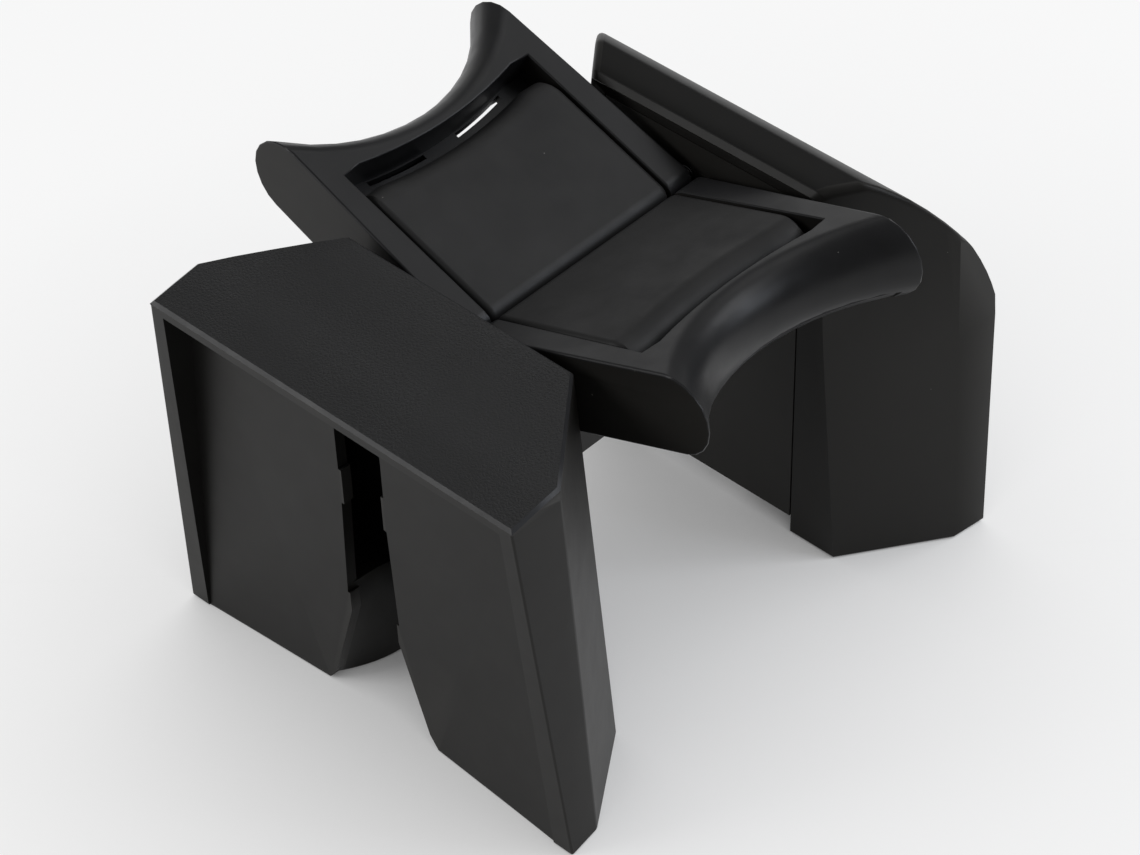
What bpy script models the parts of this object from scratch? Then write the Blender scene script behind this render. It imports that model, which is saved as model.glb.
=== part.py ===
"""Removable divider for a cup well: two end blocks on legs, a bridge between them and two sprung wings.

Metres, +Z up. The origin is on the floor under the middle of the part. X runs from cup to cup, so the wings
are left (-X) and right (+X), and Y runs from the near end block (-Y) to the far one (+Y).
"""

from math import acos, asin, cos, pi, radians, sin, sqrt, tan

import bmesh
import bpy
from mathutils import Vector

# Fits shared by all pieces, and how far a cut runs past what it cuts
GAP = 0.0003
REACH = 0.004

# Wings, measured in their own tilted plane
WING_TILT = radians(19.8)
VALLEY_DROP = 0.0076
WING_HALF_WIDTH = 0.0260
SIDE_TAPER = radians(1.8)
NOSE_RADIUS = 0.0025
NOSE_SPACING = 0.0003
NOSE_END = radians(200)
RIM_EDGE = 0.0299
RIM_RADIUS = 0.0371
RIM_THICKNESS = 0.0142
RIM_NOSE = 0.0047
RIM_LIFT = 0.0016
UNDERSIDE_TAPER = radians(17.0)
UNDERSIDE_BREAK = 0.0170
WING_EDGE_ROUND = 0.0005
STRIP_WIDTH = 0.0053
POCKET_EDGE = 0.0296
POCKET_RADIUS = 0.0750
POCKET_CORNER = 0.0022
CORNER_SHARE = 0.9
FLOOR_THICKNESS = 0.0013
SIDE_WALL = 0.0032
INNER_END_WALL = 0.0027
RIM_HOLLOW = 0.0032

# Slots through the pocket floor, and the base with a window below one of them
FLOOR_SLOT_START = 0.0036
FLOOR_SLOT_END = 0.0150
FLOOR_SLOT_WIDTH = 0.0009
BASE_WINDOW_START = 0.0070
BASE_WINDOW_LENGTH = 0.0038
BASE_THICKNESS = 0.0015

# Pads
PAD_UPPER_GAP = 0.0032
PAD_ROLL = 0.0045
PAD_CORNER = 0.0033
PAD_EDGE_ROUND = 0.0011
PAD_WALL = 0.0018

# Hinge pins and torsion springs
PIN_RADIUS = 0.0008
PIN_SEAT = 0.0027
SPRING_WIRE = 0.0004
SPRING_TURNS = 2.3
SPRING_LEG = 0.0090
SPRING_ANCHOR = 0.0050
SPRING_HOOK = 0.0013
SPRING_RECESS = 0.0014
SPRING_POINTS_PER_TURN = 9

# End blocks: corners of the plan at the floor and at the top, as depths outwards from the inner face
SIDE_GAP = 0.0017
INNER_LEAN = 0.0009
INNER_HALF_FLOOR = 0.0305
INNER_HALF_TOP = 0.0238
KNEE_IN_FLOOR = 0.0009
KNEE_OUT_TOP = 0.0001
KNEE_SET_BACK_FLOOR = 0.0066
KNEE_SET_BACK_TOP = 0.0103
OUTER_HALF_FLOOR = 0.0433
OUTER_HALF_TOP = 0.0381
OUTER_DEPTH_FLOOR = 0.0240
NEAR_DEPTH_TOP = 0.0287
FAR_DEPTH_TOP = 0.0266
BLOCK_HEIGHT = 0.0740
BLOCK_WALL = 0.0020
BLOCK_TOP_WALL = 0.0022

# Near block: flat top with a lip over a recessed outer panel
NEAR_TOP_FALL = 0.0034
NEAR_TOP_CROWN = 0.0004
LIP_EDGE = 0.0008
LIP_THICKNESS = 0.0020
PANEL_SET_BACK_FLOOR = 0.0019
PANEL_SET_BACK_RIM = 0.0004
PANEL_SET_BACK_TOP = 0.0056
RIM_WALL_FLOOR = 0.0040
RIM_WALL_TOP = 0.0024

# Far block: top that rolls over to the outer side
FAR_CREST_DEPTH = 0.0061
FAR_CREST_RISE = 0.0008
FAR_LIP_DROP = 0.0011
FAR_SHOULDER_HEIGHT = 0.0420
FAR_ROLL_OVERRUN = 0.0008
FAR_ROUNDNESS = 1.4

# Slot in each outer wall, and the leg returns beside its mouth
SLOT_HALF_TOP = 0.0049
SLOT_HALF_MID = 0.0057
SLOT_TAB = 0.0006
SLOT_TAB_LOW = 0.0448
SLOT_TAB_LENGTH = 0.0072
SLOT_NECK_HALF = 0.0052
SLOT_NECK_LENGTH = 0.0040
SLOT_MOUTH_HALF = 0.0124
SLOT_FLARE_HALF = 0.0106
SLOT_FLARE_FOOT = 0.0028
SLOT_MOUTH_HEIGHT = 0.0205
SLOT_TOP_MARGIN = 0.0015
RETURN_DEPTH = 0.0130
RETURN_ARCH = 0.0050
RETURN_MOUTH_HALF = 0.0078

# Inner walls
INNER_JAMB = 0.0028
INNER_LINTEL = 0.0028
INNER_WALL_FOOT = 0.0036
FLANGE_LAP = 0.0015
FLANGE_THICKNESS = 0.0015
BOSS_MARGIN = 0.0022
BOSS_DEPTH = 0.0025

# Bridge beam
BEAM_HALF_WIDTH = 0.0200
BEAM_SKIRT = 0.0079
BEAM_WALL = 0.0020
BEAM_RIB = 0.0024
BEAM_END_PLATE = 0.0030

# Screws
BRIDGE_SCREW_RADIUS = 0.0013
BRIDGE_SCREW_HEAD_RADIUS = 0.0026
BRIDGE_SCREW_HEAD = 0.0018
BRIDGE_SCREW_X = 0.0110
BASE_SCREW_RADIUS = 0.0010
BASE_SCREW_HEAD_RADIUS = 0.0019
BASE_SCREW_HEAD = 0.0012
BASE_SCREW_SET_BACK = 0.0056
BASE_SCREW_INSET = 0.0086
BASE_BOSS_WALL = 0.0011
SCREW_CHAMFER = 0.0005

# Facets
EDGE_STEPS = 3
WING_STEPS = 6
ROUND_STEPS = 8
NOSE_STEPS = 10
ARC_STEPS = 12
ROLL_STEPS = 14
CIRCLE_STEPS = 20
SHARP_ANGLE = radians(30)

# Values that follow from the sizes above
AXIS_X = NOSE_RADIUS + NOSE_SPACING / 2
VALLEY_HEIGHT = BLOCK_HEIGHT - VALLEY_DROP
AXIS_Z = VALLEY_HEIGHT - (NOSE_RADIUS - AXIS_X * sin(WING_TILT)) / cos(WING_TILT)
NOSE_END_X = NOSE_RADIUS * cos(NOSE_END)
RIM_CENTRE = RIM_EDGE + RIM_RADIUS
RIM_SHARE = 1 - tan(SIDE_TAPER) * RIM_EDGE / WING_HALF_WIDTH
POCKET_HALF = WING_HALF_WIDTH - STRIP_WIDTH
POCKET_CENTRE = POCKET_EDGE + POCKET_RADIUS
HOLLOW_HALF = WING_HALF_WIDTH - SIDE_WALL
HOLLOW_START = INNER_END_WALL - NOSE_RADIUS
UNDERSIDE_LOW = NOSE_RADIUS - RIM_THICKNESS
UNDERSIDE_SLOPE = RIM_LIFT / (RIM_EDGE - UNDERSIDE_BREAK)
HOLLOW_LOW = UNDERSIDE_LOW + tan(UNDERSIDE_TAPER) * (UNDERSIDE_BREAK - HOLLOW_START)
FLOOR_UNDERSIDE = HOLLOW_LOW + BASE_THICKNESS + GAP
POCKET_FLOOR = FLOOR_UNDERSIDE + FLOOR_THICKNESS
BELOW_WING = UNDERSIDE_LOW - REACH
PAD_HALF = POCKET_HALF - GAP
BORE_RADIUS = PIN_RADIUS + GAP
SPRING_HOLE_RADIUS = SPRING_WIRE / 2 + GAP
SPRING_RADIUS = BORE_RADIUS + SPRING_WIRE / 2 + GAP / 2
SPRING_SEAT = WING_HALF_WIDTH - SPRING_RECESS
BASE_SCREW_PLACE = POCKET_EDGE - BASE_SCREW_SET_BACK
BASE_SCREW_Y = HOLLOW_HALF - BASE_SCREW_INSET
INNER_FACE_TOP = WING_HALF_WIDTH + SIDE_GAP
INNER_FACE_FLOOR = INNER_FACE_TOP - INNER_LEAN
KNEE_HALF_FLOOR = OUTER_HALF_FLOOR - KNEE_IN_FLOOR
KNEE_HALF_TOP = OUTER_HALF_TOP + KNEE_OUT_TOP
KNEE_DEPTH_FLOOR = OUTER_DEPTH_FLOOR - KNEE_SET_BACK_FLOOR
KNEE_DEPTH_TOP = NEAR_DEPTH_TOP - KNEE_SET_BACK_TOP
INNER_OPENING_HALF = INNER_HALF_TOP - INNER_JAMB
INNER_OPENING_TOP = BLOCK_HEIGHT - INNER_LINTEL
BLOCK_CEILING = BLOCK_HEIGHT + 3 * REACH
NEAR_REACH = INNER_FACE_TOP + NEAR_DEPTH_TOP
FAR_REACH = INNER_FACE_TOP + FAR_DEPTH_TOP
WING_MIDDLE_Y = (NEAR_REACH - FAR_REACH) / 2
LIP_HEIGHT = BLOCK_HEIGHT - NEAR_TOP_FALL - LIP_EDGE


def plain_material(name, colour, roughness, metallic):
    """A Principled material with a colour, a roughness and a metallic value."""
    made = bpy.data.materials.new(name)
    made.use_nodes = True
    shader = made.node_tree.nodes["Principled BSDF"]
    shader.inputs["Base Color"].default_value = (*colour, 1.0)
    shader.inputs["Roughness"].default_value = roughness
    shader.inputs["Metallic"].default_value = metallic
    return made


def lofted(name, rings, material, parent=None, smooth=False):
    """A closed solid through rings of equally many points, with a flat cap at each end."""
    count = len(rings[0])
    mesh_data = bmesh.new()
    rows = [[mesh_data.verts.new(point) for point in ring] for ring in rings]
    for low, high in zip(rows, rows[1:]):
        for index in range(count):
            following = (index + 1) % count
            mesh_data.faces.new((low[index], low[following], high[following], high[index]))
    mesh_data.faces.new(rows[0])
    mesh_data.faces.new(rows[-1])
    bmesh.ops.recalc_face_normals(mesh_data, faces=mesh_data.faces)
    bmesh.ops.triangulate(mesh_data, faces=mesh_data.faces)
    mesh = bpy.data.meshes.new(name)
    mesh_data.to_mesh(mesh)
    mesh_data.free()
    mesh.materials.append(material)
    if smooth:
        mesh.shade_smooth()
        mesh.set_sharp_from_angle(angle=SHARP_ANGLE)
    made = bpy.data.objects.new(name, mesh)
    bpy.context.scene.collection.objects.link(made)
    made.parent = parent
    return made


def empty(name, parent=None):
    """An empty that carries other objects."""
    made = bpy.data.objects.new(name, None)
    bpy.context.scene.collection.objects.link(made)
    made.parent = parent
    return made


def along_y(outline, low, high):
    """Two rings of an outline in X and Z, at the two ends of a run along Y."""
    return [[Vector((x, y, z)) for x, z in outline] for y in (low, high)]


def along_z(outline, low, high):
    """Two rings of an outline in X and Y, at the two ends of a run along Z."""
    return [[Vector((x, y, z)) for x, y in outline] for z in (low, high)]


def box(low, high):
    """Two rings of a box between two opposite corners."""
    outline = [(low[0], low[1]), (high[0], low[1]), (high[0], high[1]), (low[0], high[1])]
    return along_z(outline, low[2], high[2])


def circle(centre, radius, steps=CIRCLE_STEPS):
    """Points on a whole circle."""
    return arc(centre, radius, 0.0, 2 * pi, steps)[:-1]


def arc(centre, radius, start, end, steps):
    """Points on an arc between two angles, with both ends."""
    return [
        (centre[0] + radius * cos(angle), centre[1] + radius * sin(angle))
        for angle in spread(start, end, steps)
    ]


def spread(low, high, steps):
    """Evenly spaced values from low to high, with both ends."""
    return [low + (high - low) * step / steps for step in range(steps + 1)]


def between(floor, top, height, top_height):
    """A value that changes evenly from the floor to a height."""
    return floor + (top - floor) * height / top_height


def inset(outline, distance):
    """A convex outline, listed anticlockwise, moved inwards by a distance."""
    moved = []
    for before, here, after in zip(outline[-1:] + outline[:-1], outline, outline[1:] + outline[:1]):
        first = (Vector(here) - Vector(before)).normalized()
        second = (Vector(after) - Vector(here)).normalized()
        first_normal = Vector((-first.y, first.x))
        second_normal = Vector((-second.y, second.x))
        share = distance / (1 + first_normal.dot(second_normal))
        moved.append(tuple(Vector(here) + (first_normal + second_normal) * share))
    return moved


def combine(target, other, operation="DIFFERENCE"):
    """Cut a piece with a hidden helper, or join or intersect them."""
    modifier = target.modifiers.new(other.name, "BOOLEAN")
    modifier.operation = operation
    modifier.solver = "EXACT"
    modifier.object = other
    other.hide_render = True
    other.display_type = "WIRE"


def rounded_ends(section_at, half_width, edge_round, taper=0.0):
    """Rings along Y of a section that depends on y, drawn in at both ends to round the side edges.

    The taper is an angle by which each side closes in along X.
    """
    straight = half_width - edge_round
    stations = [(y, 0.0) for y in spread(0.0, straight, WING_STEPS)]
    for angle in spread(0.0, pi / 2, EDGE_STEPS)[1:]:
        stations.append((straight + edge_round * sin(angle), edge_round * (1 - cos(angle))))
    rings = []
    for y, drawn_in in [(-y, drawn_in) for y, drawn_in in reversed(stations[1:])] + stations:
        outline = inset(section_at(y), drawn_in)
        share = y / half_width
        rings.append([Vector((x, y - share * tan(taper) * max(x, 0.0), z)) for x, z in outline])
    return rings


def wing_ends(sign):
    """Names of a wing's ends with their sides in its own frame, which is turned half round on the left."""
    return (("near", -sign), ("far", sign))


def block_sides(end):
    """Names of a block's sides with their signs in its own frame, turned half round at the near end."""
    sign = 1 if end == "far" else -1
    return (("left", -sign), ("right", sign))


def arc_edge(centre, radius, y):
    """Where a concave arc, centred outside the wing, lies at y."""
    return centre - sqrt(radius**2 - y**2)


def rim_bottom(y):
    """Height of the rim's lower side at y, which is arched across the wing."""
    return UNDERSIDE_LOW + RIM_LIFT * (1 - (y / WING_HALF_WIDTH) ** 2)


def underside(place, y=WING_HALF_WIDTH):
    """Height of the wing's underside along and across it: it falls from the hinge to a break, then rises."""
    if place < UNDERSIDE_BREAK:
        return UNDERSIDE_LOW + tan(UNDERSIDE_TAPER) * (UNDERSIDE_BREAK - place)
    share = (place - UNDERSIDE_BREAK) / (arc_edge(RIM_CENTRE, RIM_RADIUS, y) - UNDERSIDE_BREAK)
    return UNDERSIDE_LOW + (rim_bottom(y) - UNDERSIDE_LOW) * share


def rim_points(y, start, end, steps):
    """Points on the bull-nosed rim at y. The angle is 0 on top of it and pi below it."""
    half = (NOSE_RADIUS - rim_bottom(y)) / 2
    return [
        (arc_edge(RIM_CENTRE, RIM_RADIUS - RIM_NOSE * sin(angle), y), NOSE_RADIUS - half + half * cos(angle))
        for angle in spread(start, end, steps)
    ]


def hinge_nose():
    """Points on the round hinge end of a wing or a pad, from its top round to its inner side."""
    return arc((0.0, 0.0), NOSE_RADIUS, pi / 2, NOSE_END, ROUND_STEPS)


def wing_section(y):
    """Outline of a whole wing, anticlockwise as X and Z: hinge nose, underside and bull-nosed rim.

    The rim is drawn for the place that y is brought to by the taper of the sides.
    """
    corner = NOSE_RADIUS / 2
    bottom = [(NOSE_END_X, underside(NOSE_END_X) + corner)]
    bottom += [(x, underside(x)) for x in (NOSE_END_X + corner, UNDERSIDE_BREAK)]
    return hinge_nose() + bottom + rim_points(y * RIM_SHARE, pi, 0.0, NOSE_STEPS)


def corner_drop(y, half, corner):
    """How far the rounded corner of an edge of a given half width falls back at y."""
    into_corner = max(0.0, abs(y) - half + corner)
    return corner - sqrt(corner**2 - min(into_corner, corner * CORNER_SHARE) ** 2)


def pocket_edge(y):
    """Concave upper edge of the pocket at y, with rounded corners."""
    return arc_edge(POCKET_CENTRE, POCKET_RADIUS, y) - corner_drop(y, POCKET_HALF, POCKET_CORNER)


def pad_upper_edge(y):
    """Upper edge of the pad at y, with its rounded corners."""
    return arc_edge(POCKET_CENTRE, POCKET_RADIUS + PAD_UPPER_GAP, y) - corner_drop(y, PAD_HALF, PAD_CORNER)


def hollow_edge(y):
    """Outer edge of the hollow under the rim at y."""
    return arc_edge(RIM_CENTRE, RIM_RADIUS - RIM_HOLLOW, y)


def pad_section(y):
    """Outline of the pad at y: hinge nose, flat bottom and rolled upper edge."""
    bottom = POCKET_FLOOR + GAP
    edge = pad_upper_edge(y)
    roll = arc((edge - PAD_ROLL, NOSE_RADIUS - PAD_ROLL), PAD_ROLL, 0.0, pi / 2, ROUND_STEPS)
    return hinge_nose() + [(NOSE_END_X, bottom), (edge, bottom)] + roll


def base_section(y):
    """Outline of the base cover at y, which follows the underside and the start of the rim."""
    start = HOLLOW_START + GAP
    into_rim = asin((RIM_HOLLOW - GAP) / RIM_NOSE)
    lower = [(x, underside(x)) for x in (start, UNDERSIDE_BREAK)]
    lower += rim_points(y, pi, pi - into_rim, EDGE_STEPS)
    upper = [(x, z + BASE_THICKNESS) for x, z in reversed(lower)]
    return lower + upper


def pocket_outline(half, edge_at, low):
    """Plan of a pocket that ends in a concave edge: X along the wing, Y across it."""
    far_side = [(edge_at(y), y) for y in spread(-half, half, ARC_STEPS)]
    return [(low, -half), *far_side, (low, half)]


def spring_recess():
    """Outline in a wing's end that takes a spring's coil and leg: two circles and their tangents."""
    leg_end = SPRING_LEG + GAP
    turn = acos(SPRING_RADIUS / leg_end)
    coil_side = arc((0.0, 0.0), SPRING_RADIUS + SPRING_HOLE_RADIUS, turn, 2 * pi - turn, CIRCLE_STEPS)
    return coil_side + arc((leg_end, 0.0), SPRING_HOLE_RADIUS, -turn, turn, ROUND_STEPS)


def make_wing_frame(side, sign, axis, material):
    """The wing's frame: strips, rim and pocket floor, hollow below."""
    rings = rounded_ends(wing_section, WING_HALF_WIDTH, WING_EDGE_ROUND, SIDE_TAPER)
    frame = lofted(f"{side}_wing_frame", rings, material, axis, smooth=True)
    pocket = along_z(pocket_outline(POCKET_HALF, pocket_edge, -REACH), POCKET_FLOOR, REACH)
    combine(frame, lofted(f"{side}_pocket_cut", pocket, material, axis))
    hollow = along_z(pocket_outline(HOLLOW_HALF, hollow_edge, HOLLOW_START), BELOW_WING, FLOOR_UNDERSIDE)
    combine(frame, lofted(f"{side}_hollow_cut", hollow, material, axis))
    for end, y_sign in wing_ends(sign):
        outer = [
            (pocket_edge(y_sign * y) - GAP, y_sign * y)
            for y in spread(FLOOR_SLOT_START, FLOOR_SLOT_END, WING_STEPS)
        ]
        inner = [(x - FLOOR_SLOT_WIDTH, y) for x, y in reversed(outer)]
        slot = along_z(outer + inner, FLOOR_UNDERSIDE - GAP, POCKET_FLOOR + GAP)
        combine(frame, lofted(f"{side}_{end}_floor_slot_cut", slot, material, axis))
        boss_radius = BASE_SCREW_RADIUS + GAP + BASE_BOSS_WALL
        boss_foot = underside(BASE_SCREW_PLACE, BASE_SCREW_Y) + BASE_THICKNESS + GAP
        boss_foot += boss_radius * UNDERSIDE_SLOPE
        centre = (BASE_SCREW_PLACE, y_sign * BASE_SCREW_Y)
        boss = along_z(circle(centre, boss_radius), boss_foot, FLOOR_UNDERSIDE + FLOOR_THICKNESS / 2)
        combine(frame, lofted(f"{side}_{end}_base_boss", boss, material, axis), "UNION")
        bore = along_z(circle(centre, BASE_SCREW_RADIUS + GAP), boss_foot - REACH, FLOOR_UNDERSIDE + GAP)
        combine(frame, lofted(f"{side}_{end}_base_bore", bore, material, axis))
        past_end = y_sign * (WING_HALF_WIDTH + REACH)
        recess = along_y(spring_recess(), y_sign * SPRING_SEAT, past_end)
        combine(frame, lofted(f"{side}_{end}_spring_recess", recess, material, axis))
        hook_circle = circle((SPRING_LEG, 0.0), SPRING_HOLE_RADIUS, ROUND_STEPS)
        spring_hole = along_y(hook_circle, y_sign * (SPRING_SEAT - SPRING_HOOK - GAP), past_end)
        combine(frame, lofted(f"{side}_{end}_spring_hole", spring_hole, material, axis))
    bore = along_y(circle((0.0, 0.0), BORE_RADIUS), -WING_HALF_WIDTH - REACH, WING_HALF_WIDTH + REACH)
    combine(frame, lofted(f"{side}_frame_bore", bore, material, axis))


def make_wing_pad(side, axis, material):
    """The inset pad, a hollow cap that clips over the pin between the strips."""
    rings = rounded_ends(pad_section, PAD_HALF, PAD_EDGE_ROUND)
    pad = lofted(f"{side}_wing_pad", rings, material, axis, smooth=True)
    groove = arc((0.0, 0.0), BORE_RADIUS, 0.0, pi, ROUND_STEPS)
    groove += [(-BORE_RADIUS, POCKET_FLOOR - REACH), (BORE_RADIUS, POCKET_FLOOR - REACH)]
    groove_run = along_y(groove, -PAD_HALF - REACH, PAD_HALF + REACH)
    combine(pad, lofted(f"{side}_pad_groove", groove_run, material, axis))
    low = (BORE_RADIUS + PAD_WALL, -PAD_HALF + PAD_WALL, POCKET_FLOOR - REACH)
    high = (pad_upper_edge(0.0) - PAD_ROLL - PAD_WALL, PAD_HALF - PAD_WALL, NOSE_RADIUS - PAD_WALL)
    combine(pad, lofted(f"{side}_pad_hollow", box(low, high), material, axis))


def make_wing_base(side, sign, axis, material):
    """The cover under the wing, with a window below one floor slot and a hole for each screw."""
    half = HOLLOW_HALF - GAP
    rings = [[Vector((x, y, z)) for x, z in base_section(y)] for y in spread(-half, half, ARC_STEPS)]
    base = lofted(f"{side}_wing_base", rings, material, axis, smooth=True)
    window_low = pocket_edge(0.0) - GAP
    window = box(
        (window_low, SIDE_WALL - half, BELOW_WING),
        (window_low + BASE_WINDOW_LENGTH, -BASE_WINDOW_START, FLOOR_UNDERSIDE),
    )
    combine(base, lofted(f"{side}_window_cut", window, material, axis))
    for end, y_sign in wing_ends(sign):
        hole = circle((BASE_SCREW_PLACE, y_sign * BASE_SCREW_Y), BASE_SCREW_RADIUS + GAP)
        cutter = along_z(hole, BELOW_WING, FLOOR_UNDERSIDE)
        combine(base, lofted(f"{side}_{end}_base_hole", cutter, material, axis))


def make_screw(name, radius, length, head_radius, head, material, parent):
    """A pan-head screw along its own +Z, with the underside of its head at z = 0."""
    turned = [
        (-head, head_radius - SCREW_CHAMFER),
        (-head + SCREW_CHAMFER, head_radius),
        (0.0, head_radius),
        (0.0, radius),
        (length - SCREW_CHAMFER, radius),
        (length, radius - SCREW_CHAMFER),
    ]
    rings = [[Vector((x, y, z)) for x, y in circle((0.0, 0.0), ring)] for z, ring in turned]
    return lofted(name, rings, material, parent, smooth=True)


def make_base_screws(side, sign, axis, material):
    """The two screws that hold the base to the wing's frame."""
    head_seat = underside(BASE_SCREW_PLACE, BASE_SCREW_Y) - GAP - BASE_SCREW_HEAD_RADIUS * UNDERSIDE_SLOPE
    length = FLOOR_UNDERSIDE - head_seat
    size = (BASE_SCREW_RADIUS, length, BASE_SCREW_HEAD_RADIUS, BASE_SCREW_HEAD)
    for end, y_sign in wing_ends(sign):
        screw = make_screw(f"{side}_{end}_base_screw", *size, material, axis)
        screw.location = (BASE_SCREW_PLACE, y_sign * BASE_SCREW_Y, head_seat)


def make_wing(side, sign, middle, frame_plastic, pad_plastic, screw_steel):
    """A wing on its hinge axis. The left one is the right one turned half round."""
    axis = empty(f"{side}_wing_axis", middle)
    axis.location = (sign * AXIS_X, 0.0, AXIS_Z)
    axis.rotation_euler = (0.0, -WING_TILT, 0.0 if sign > 0 else pi)
    make_wing_frame(side, sign, axis, frame_plastic)
    make_wing_pad(side, axis, pad_plastic)
    make_wing_base(side, sign, axis, frame_plastic)
    make_base_screws(side, sign, axis, screw_steel)


def inner_face(height):
    """Distance of a block's inner face from the middle, at a height."""
    return between(INNER_FACE_FLOOR, INNER_FACE_TOP, height, BLOCK_HEIGHT)


def outer_side(height, reach, reach_height):
    """Distance of a block's outer side from the middle, which is upright above its furthest reach."""
    return between(INNER_FACE_FLOOR + OUTER_DEPTH_FLOOR, reach, min(height, reach_height), reach_height)


def near_panel(height):
    """Distance of the near block's recessed panel from the middle, beside the slot."""
    set_back = between(PANEL_SET_BACK_FLOOR, PANEL_SET_BACK_TOP, min(height, LIP_HEIGHT), LIP_HEIGHT)
    return outer_side(height, NEAR_REACH, LIP_HEIGHT) - set_back


def near_side(height):
    """Distance of the near block's outer side from the middle."""
    return outer_side(height, NEAR_REACH, LIP_HEIGHT)


def far_side(height):
    """Distance of the far block's outer side from the middle."""
    return outer_side(height, FAR_REACH, FAR_SHOULDER_HEIGHT)


def block_plan(height, outer):
    """Plan of a block at a height, anticlockwise, with its outer side at a distance from the middle."""
    half_inner = between(INNER_HALF_FLOOR, INNER_HALF_TOP, height, BLOCK_HEIGHT)
    half_knee = between(KNEE_HALF_FLOOR, KNEE_HALF_TOP, height, BLOCK_HEIGHT)
    half_outer = between(OUTER_HALF_FLOOR, OUTER_HALF_TOP, height, BLOCK_HEIGHT)
    knee_floor = INNER_FACE_FLOOR + KNEE_DEPTH_FLOOR
    knee = between(knee_floor, INNER_FACE_TOP + KNEE_DEPTH_TOP, height, BLOCK_HEIGHT)
    right = [(half_inner, inner_face(height)), (half_knee, knee), (half_outer, outer)]
    return right + [(-x, y) for x, y in reversed(right)]


def near_top(y):
    """Height of the near block's top, which falls gently outwards and is a little crowned."""
    share = (y - INNER_FACE_TOP) / NEAR_DEPTH_TOP
    return BLOCK_HEIGHT - NEAR_TOP_FALL * share + 4 * NEAR_TOP_CROWN * share * (1 - share)


def near_top_line(drop):
    """Points of the near block's top, or of its underside, from the inner side outwards."""
    places = spread(INNER_FACE_FLOOR - REACH, NEAR_REACH + REACH, ROUND_STEPS)
    return [(y, near_top(y) - drop) for y in places]


def far_top_line(drop):
    """Points of the far block's top, or of its inside, which rolls over to the outer side."""
    crest_y = INNER_FACE_TOP + FAR_CREST_DEPTH
    crest_z = BLOCK_HEIGHT + FAR_CREST_RISE - drop
    roll_width = FAR_REACH + FAR_ROLL_OVERRUN - drop - crest_y
    roll_rise = crest_z - FAR_SHOULDER_HEIGHT
    lip = [
        (y, crest_z - FAR_LIP_DROP * ((crest_y - y) / FAR_CREST_DEPTH) ** 2)
        for y in spread(INNER_FACE_FLOOR - REACH, crest_y, EDGE_STEPS)
    ]
    power = 2 / FAR_ROUNDNESS
    roll = [
        (crest_y + roll_width * sin(angle) ** power, FAR_SHOULDER_HEIGHT + roll_rise * cos(angle) ** power)
        for angle in spread(0.0, pi / 2, ROLL_STEPS)[1:-1]
    ]
    return lip + roll + [(crest_y + roll_width, FAR_SHOULDER_HEIGHT)]


def side_profile(top_line):
    """Rings of a wide prism along X under a top line of Y and Z."""
    outline = [(top_line[0][0], -REACH), *top_line, (top_line[-1][0], -REACH)]
    half = max(INNER_HALF_FLOOR, KNEE_HALF_FLOOR, OUTER_HALF_FLOOR) + REACH
    return [[Vector((x, y, z)) for y, z in outline] for x in (-half, half)]


def slot_outline(top):
    """Outline in X and Z of a slot in an outer wall: tabs where it is tall, a neck and a flared mouth."""
    right = [(SLOT_HALF_TOP, top)]
    tab_high = SLOT_TAB_LOW + SLOT_TAB_LENGTH
    if top > tab_high:
        right += [
            (SLOT_HALF_TOP, tab_high),
            (SLOT_HALF_TOP - SLOT_TAB, tab_high),
            (SLOT_HALF_TOP - SLOT_TAB, SLOT_TAB_LOW),
            (SLOT_HALF_TOP, SLOT_TAB_LOW),
        ]
    right += [
        (SLOT_HALF_MID, SLOT_MOUTH_HEIGHT + SLOT_NECK_LENGTH),
        (SLOT_NECK_HALF, SLOT_MOUTH_HEIGHT + SLOT_NECK_LENGTH),
        (SLOT_NECK_HALF, SLOT_MOUTH_HEIGHT),
        (SLOT_FLARE_HALF, SLOT_FLARE_FOOT),
        (SLOT_MOUTH_HALF, 0.0),
        (SLOT_MOUTH_HALF, -REACH),
    ]
    return right + [(-x, z) for x, z in reversed(right)]


def leg_return(sign, wall_outside):
    """Rings of a leg's wall beside the slot, which draws in from the flared mouth under an arched top."""
    neck_half = SLOT_NECK_HALF + GAP
    root = BLOCK_WALL / 2
    rings = []
    for share in spread(0.0, 1.0, ROUND_STEPS):
        flare = (1 - share) ** 2
        mouth_half = RETURN_MOUTH_HALF + (SLOT_MOUTH_HALF - RETURN_MOUTH_HALF) * flare + GAP
        flare_half = between(mouth_half, neck_half, SLOT_FLARE_FOOT, SLOT_MOUTH_HEIGHT)
        flare_half += (SLOT_FLARE_HALF + GAP - flare_half) * flare
        top = SLOT_MOUTH_HEIGHT + GAP + RETURN_ARCH * sqrt(1 - share**2)
        slot_side = [
            (neck_half, top),
            (neck_half, SLOT_MOUTH_HEIGHT),
            (flare_half, SLOT_FLARE_FOOT),
            (mouth_half, GAP),
        ]
        outline = slot_side + [(x + BLOCK_WALL, z) for x, z in reversed(slot_side)]
        depth = root + RETURN_DEPTH * share
        rings.append([Vector((sign * x, wall_outside(z) - depth, z)) for x, z in outline])
    return rings


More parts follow.
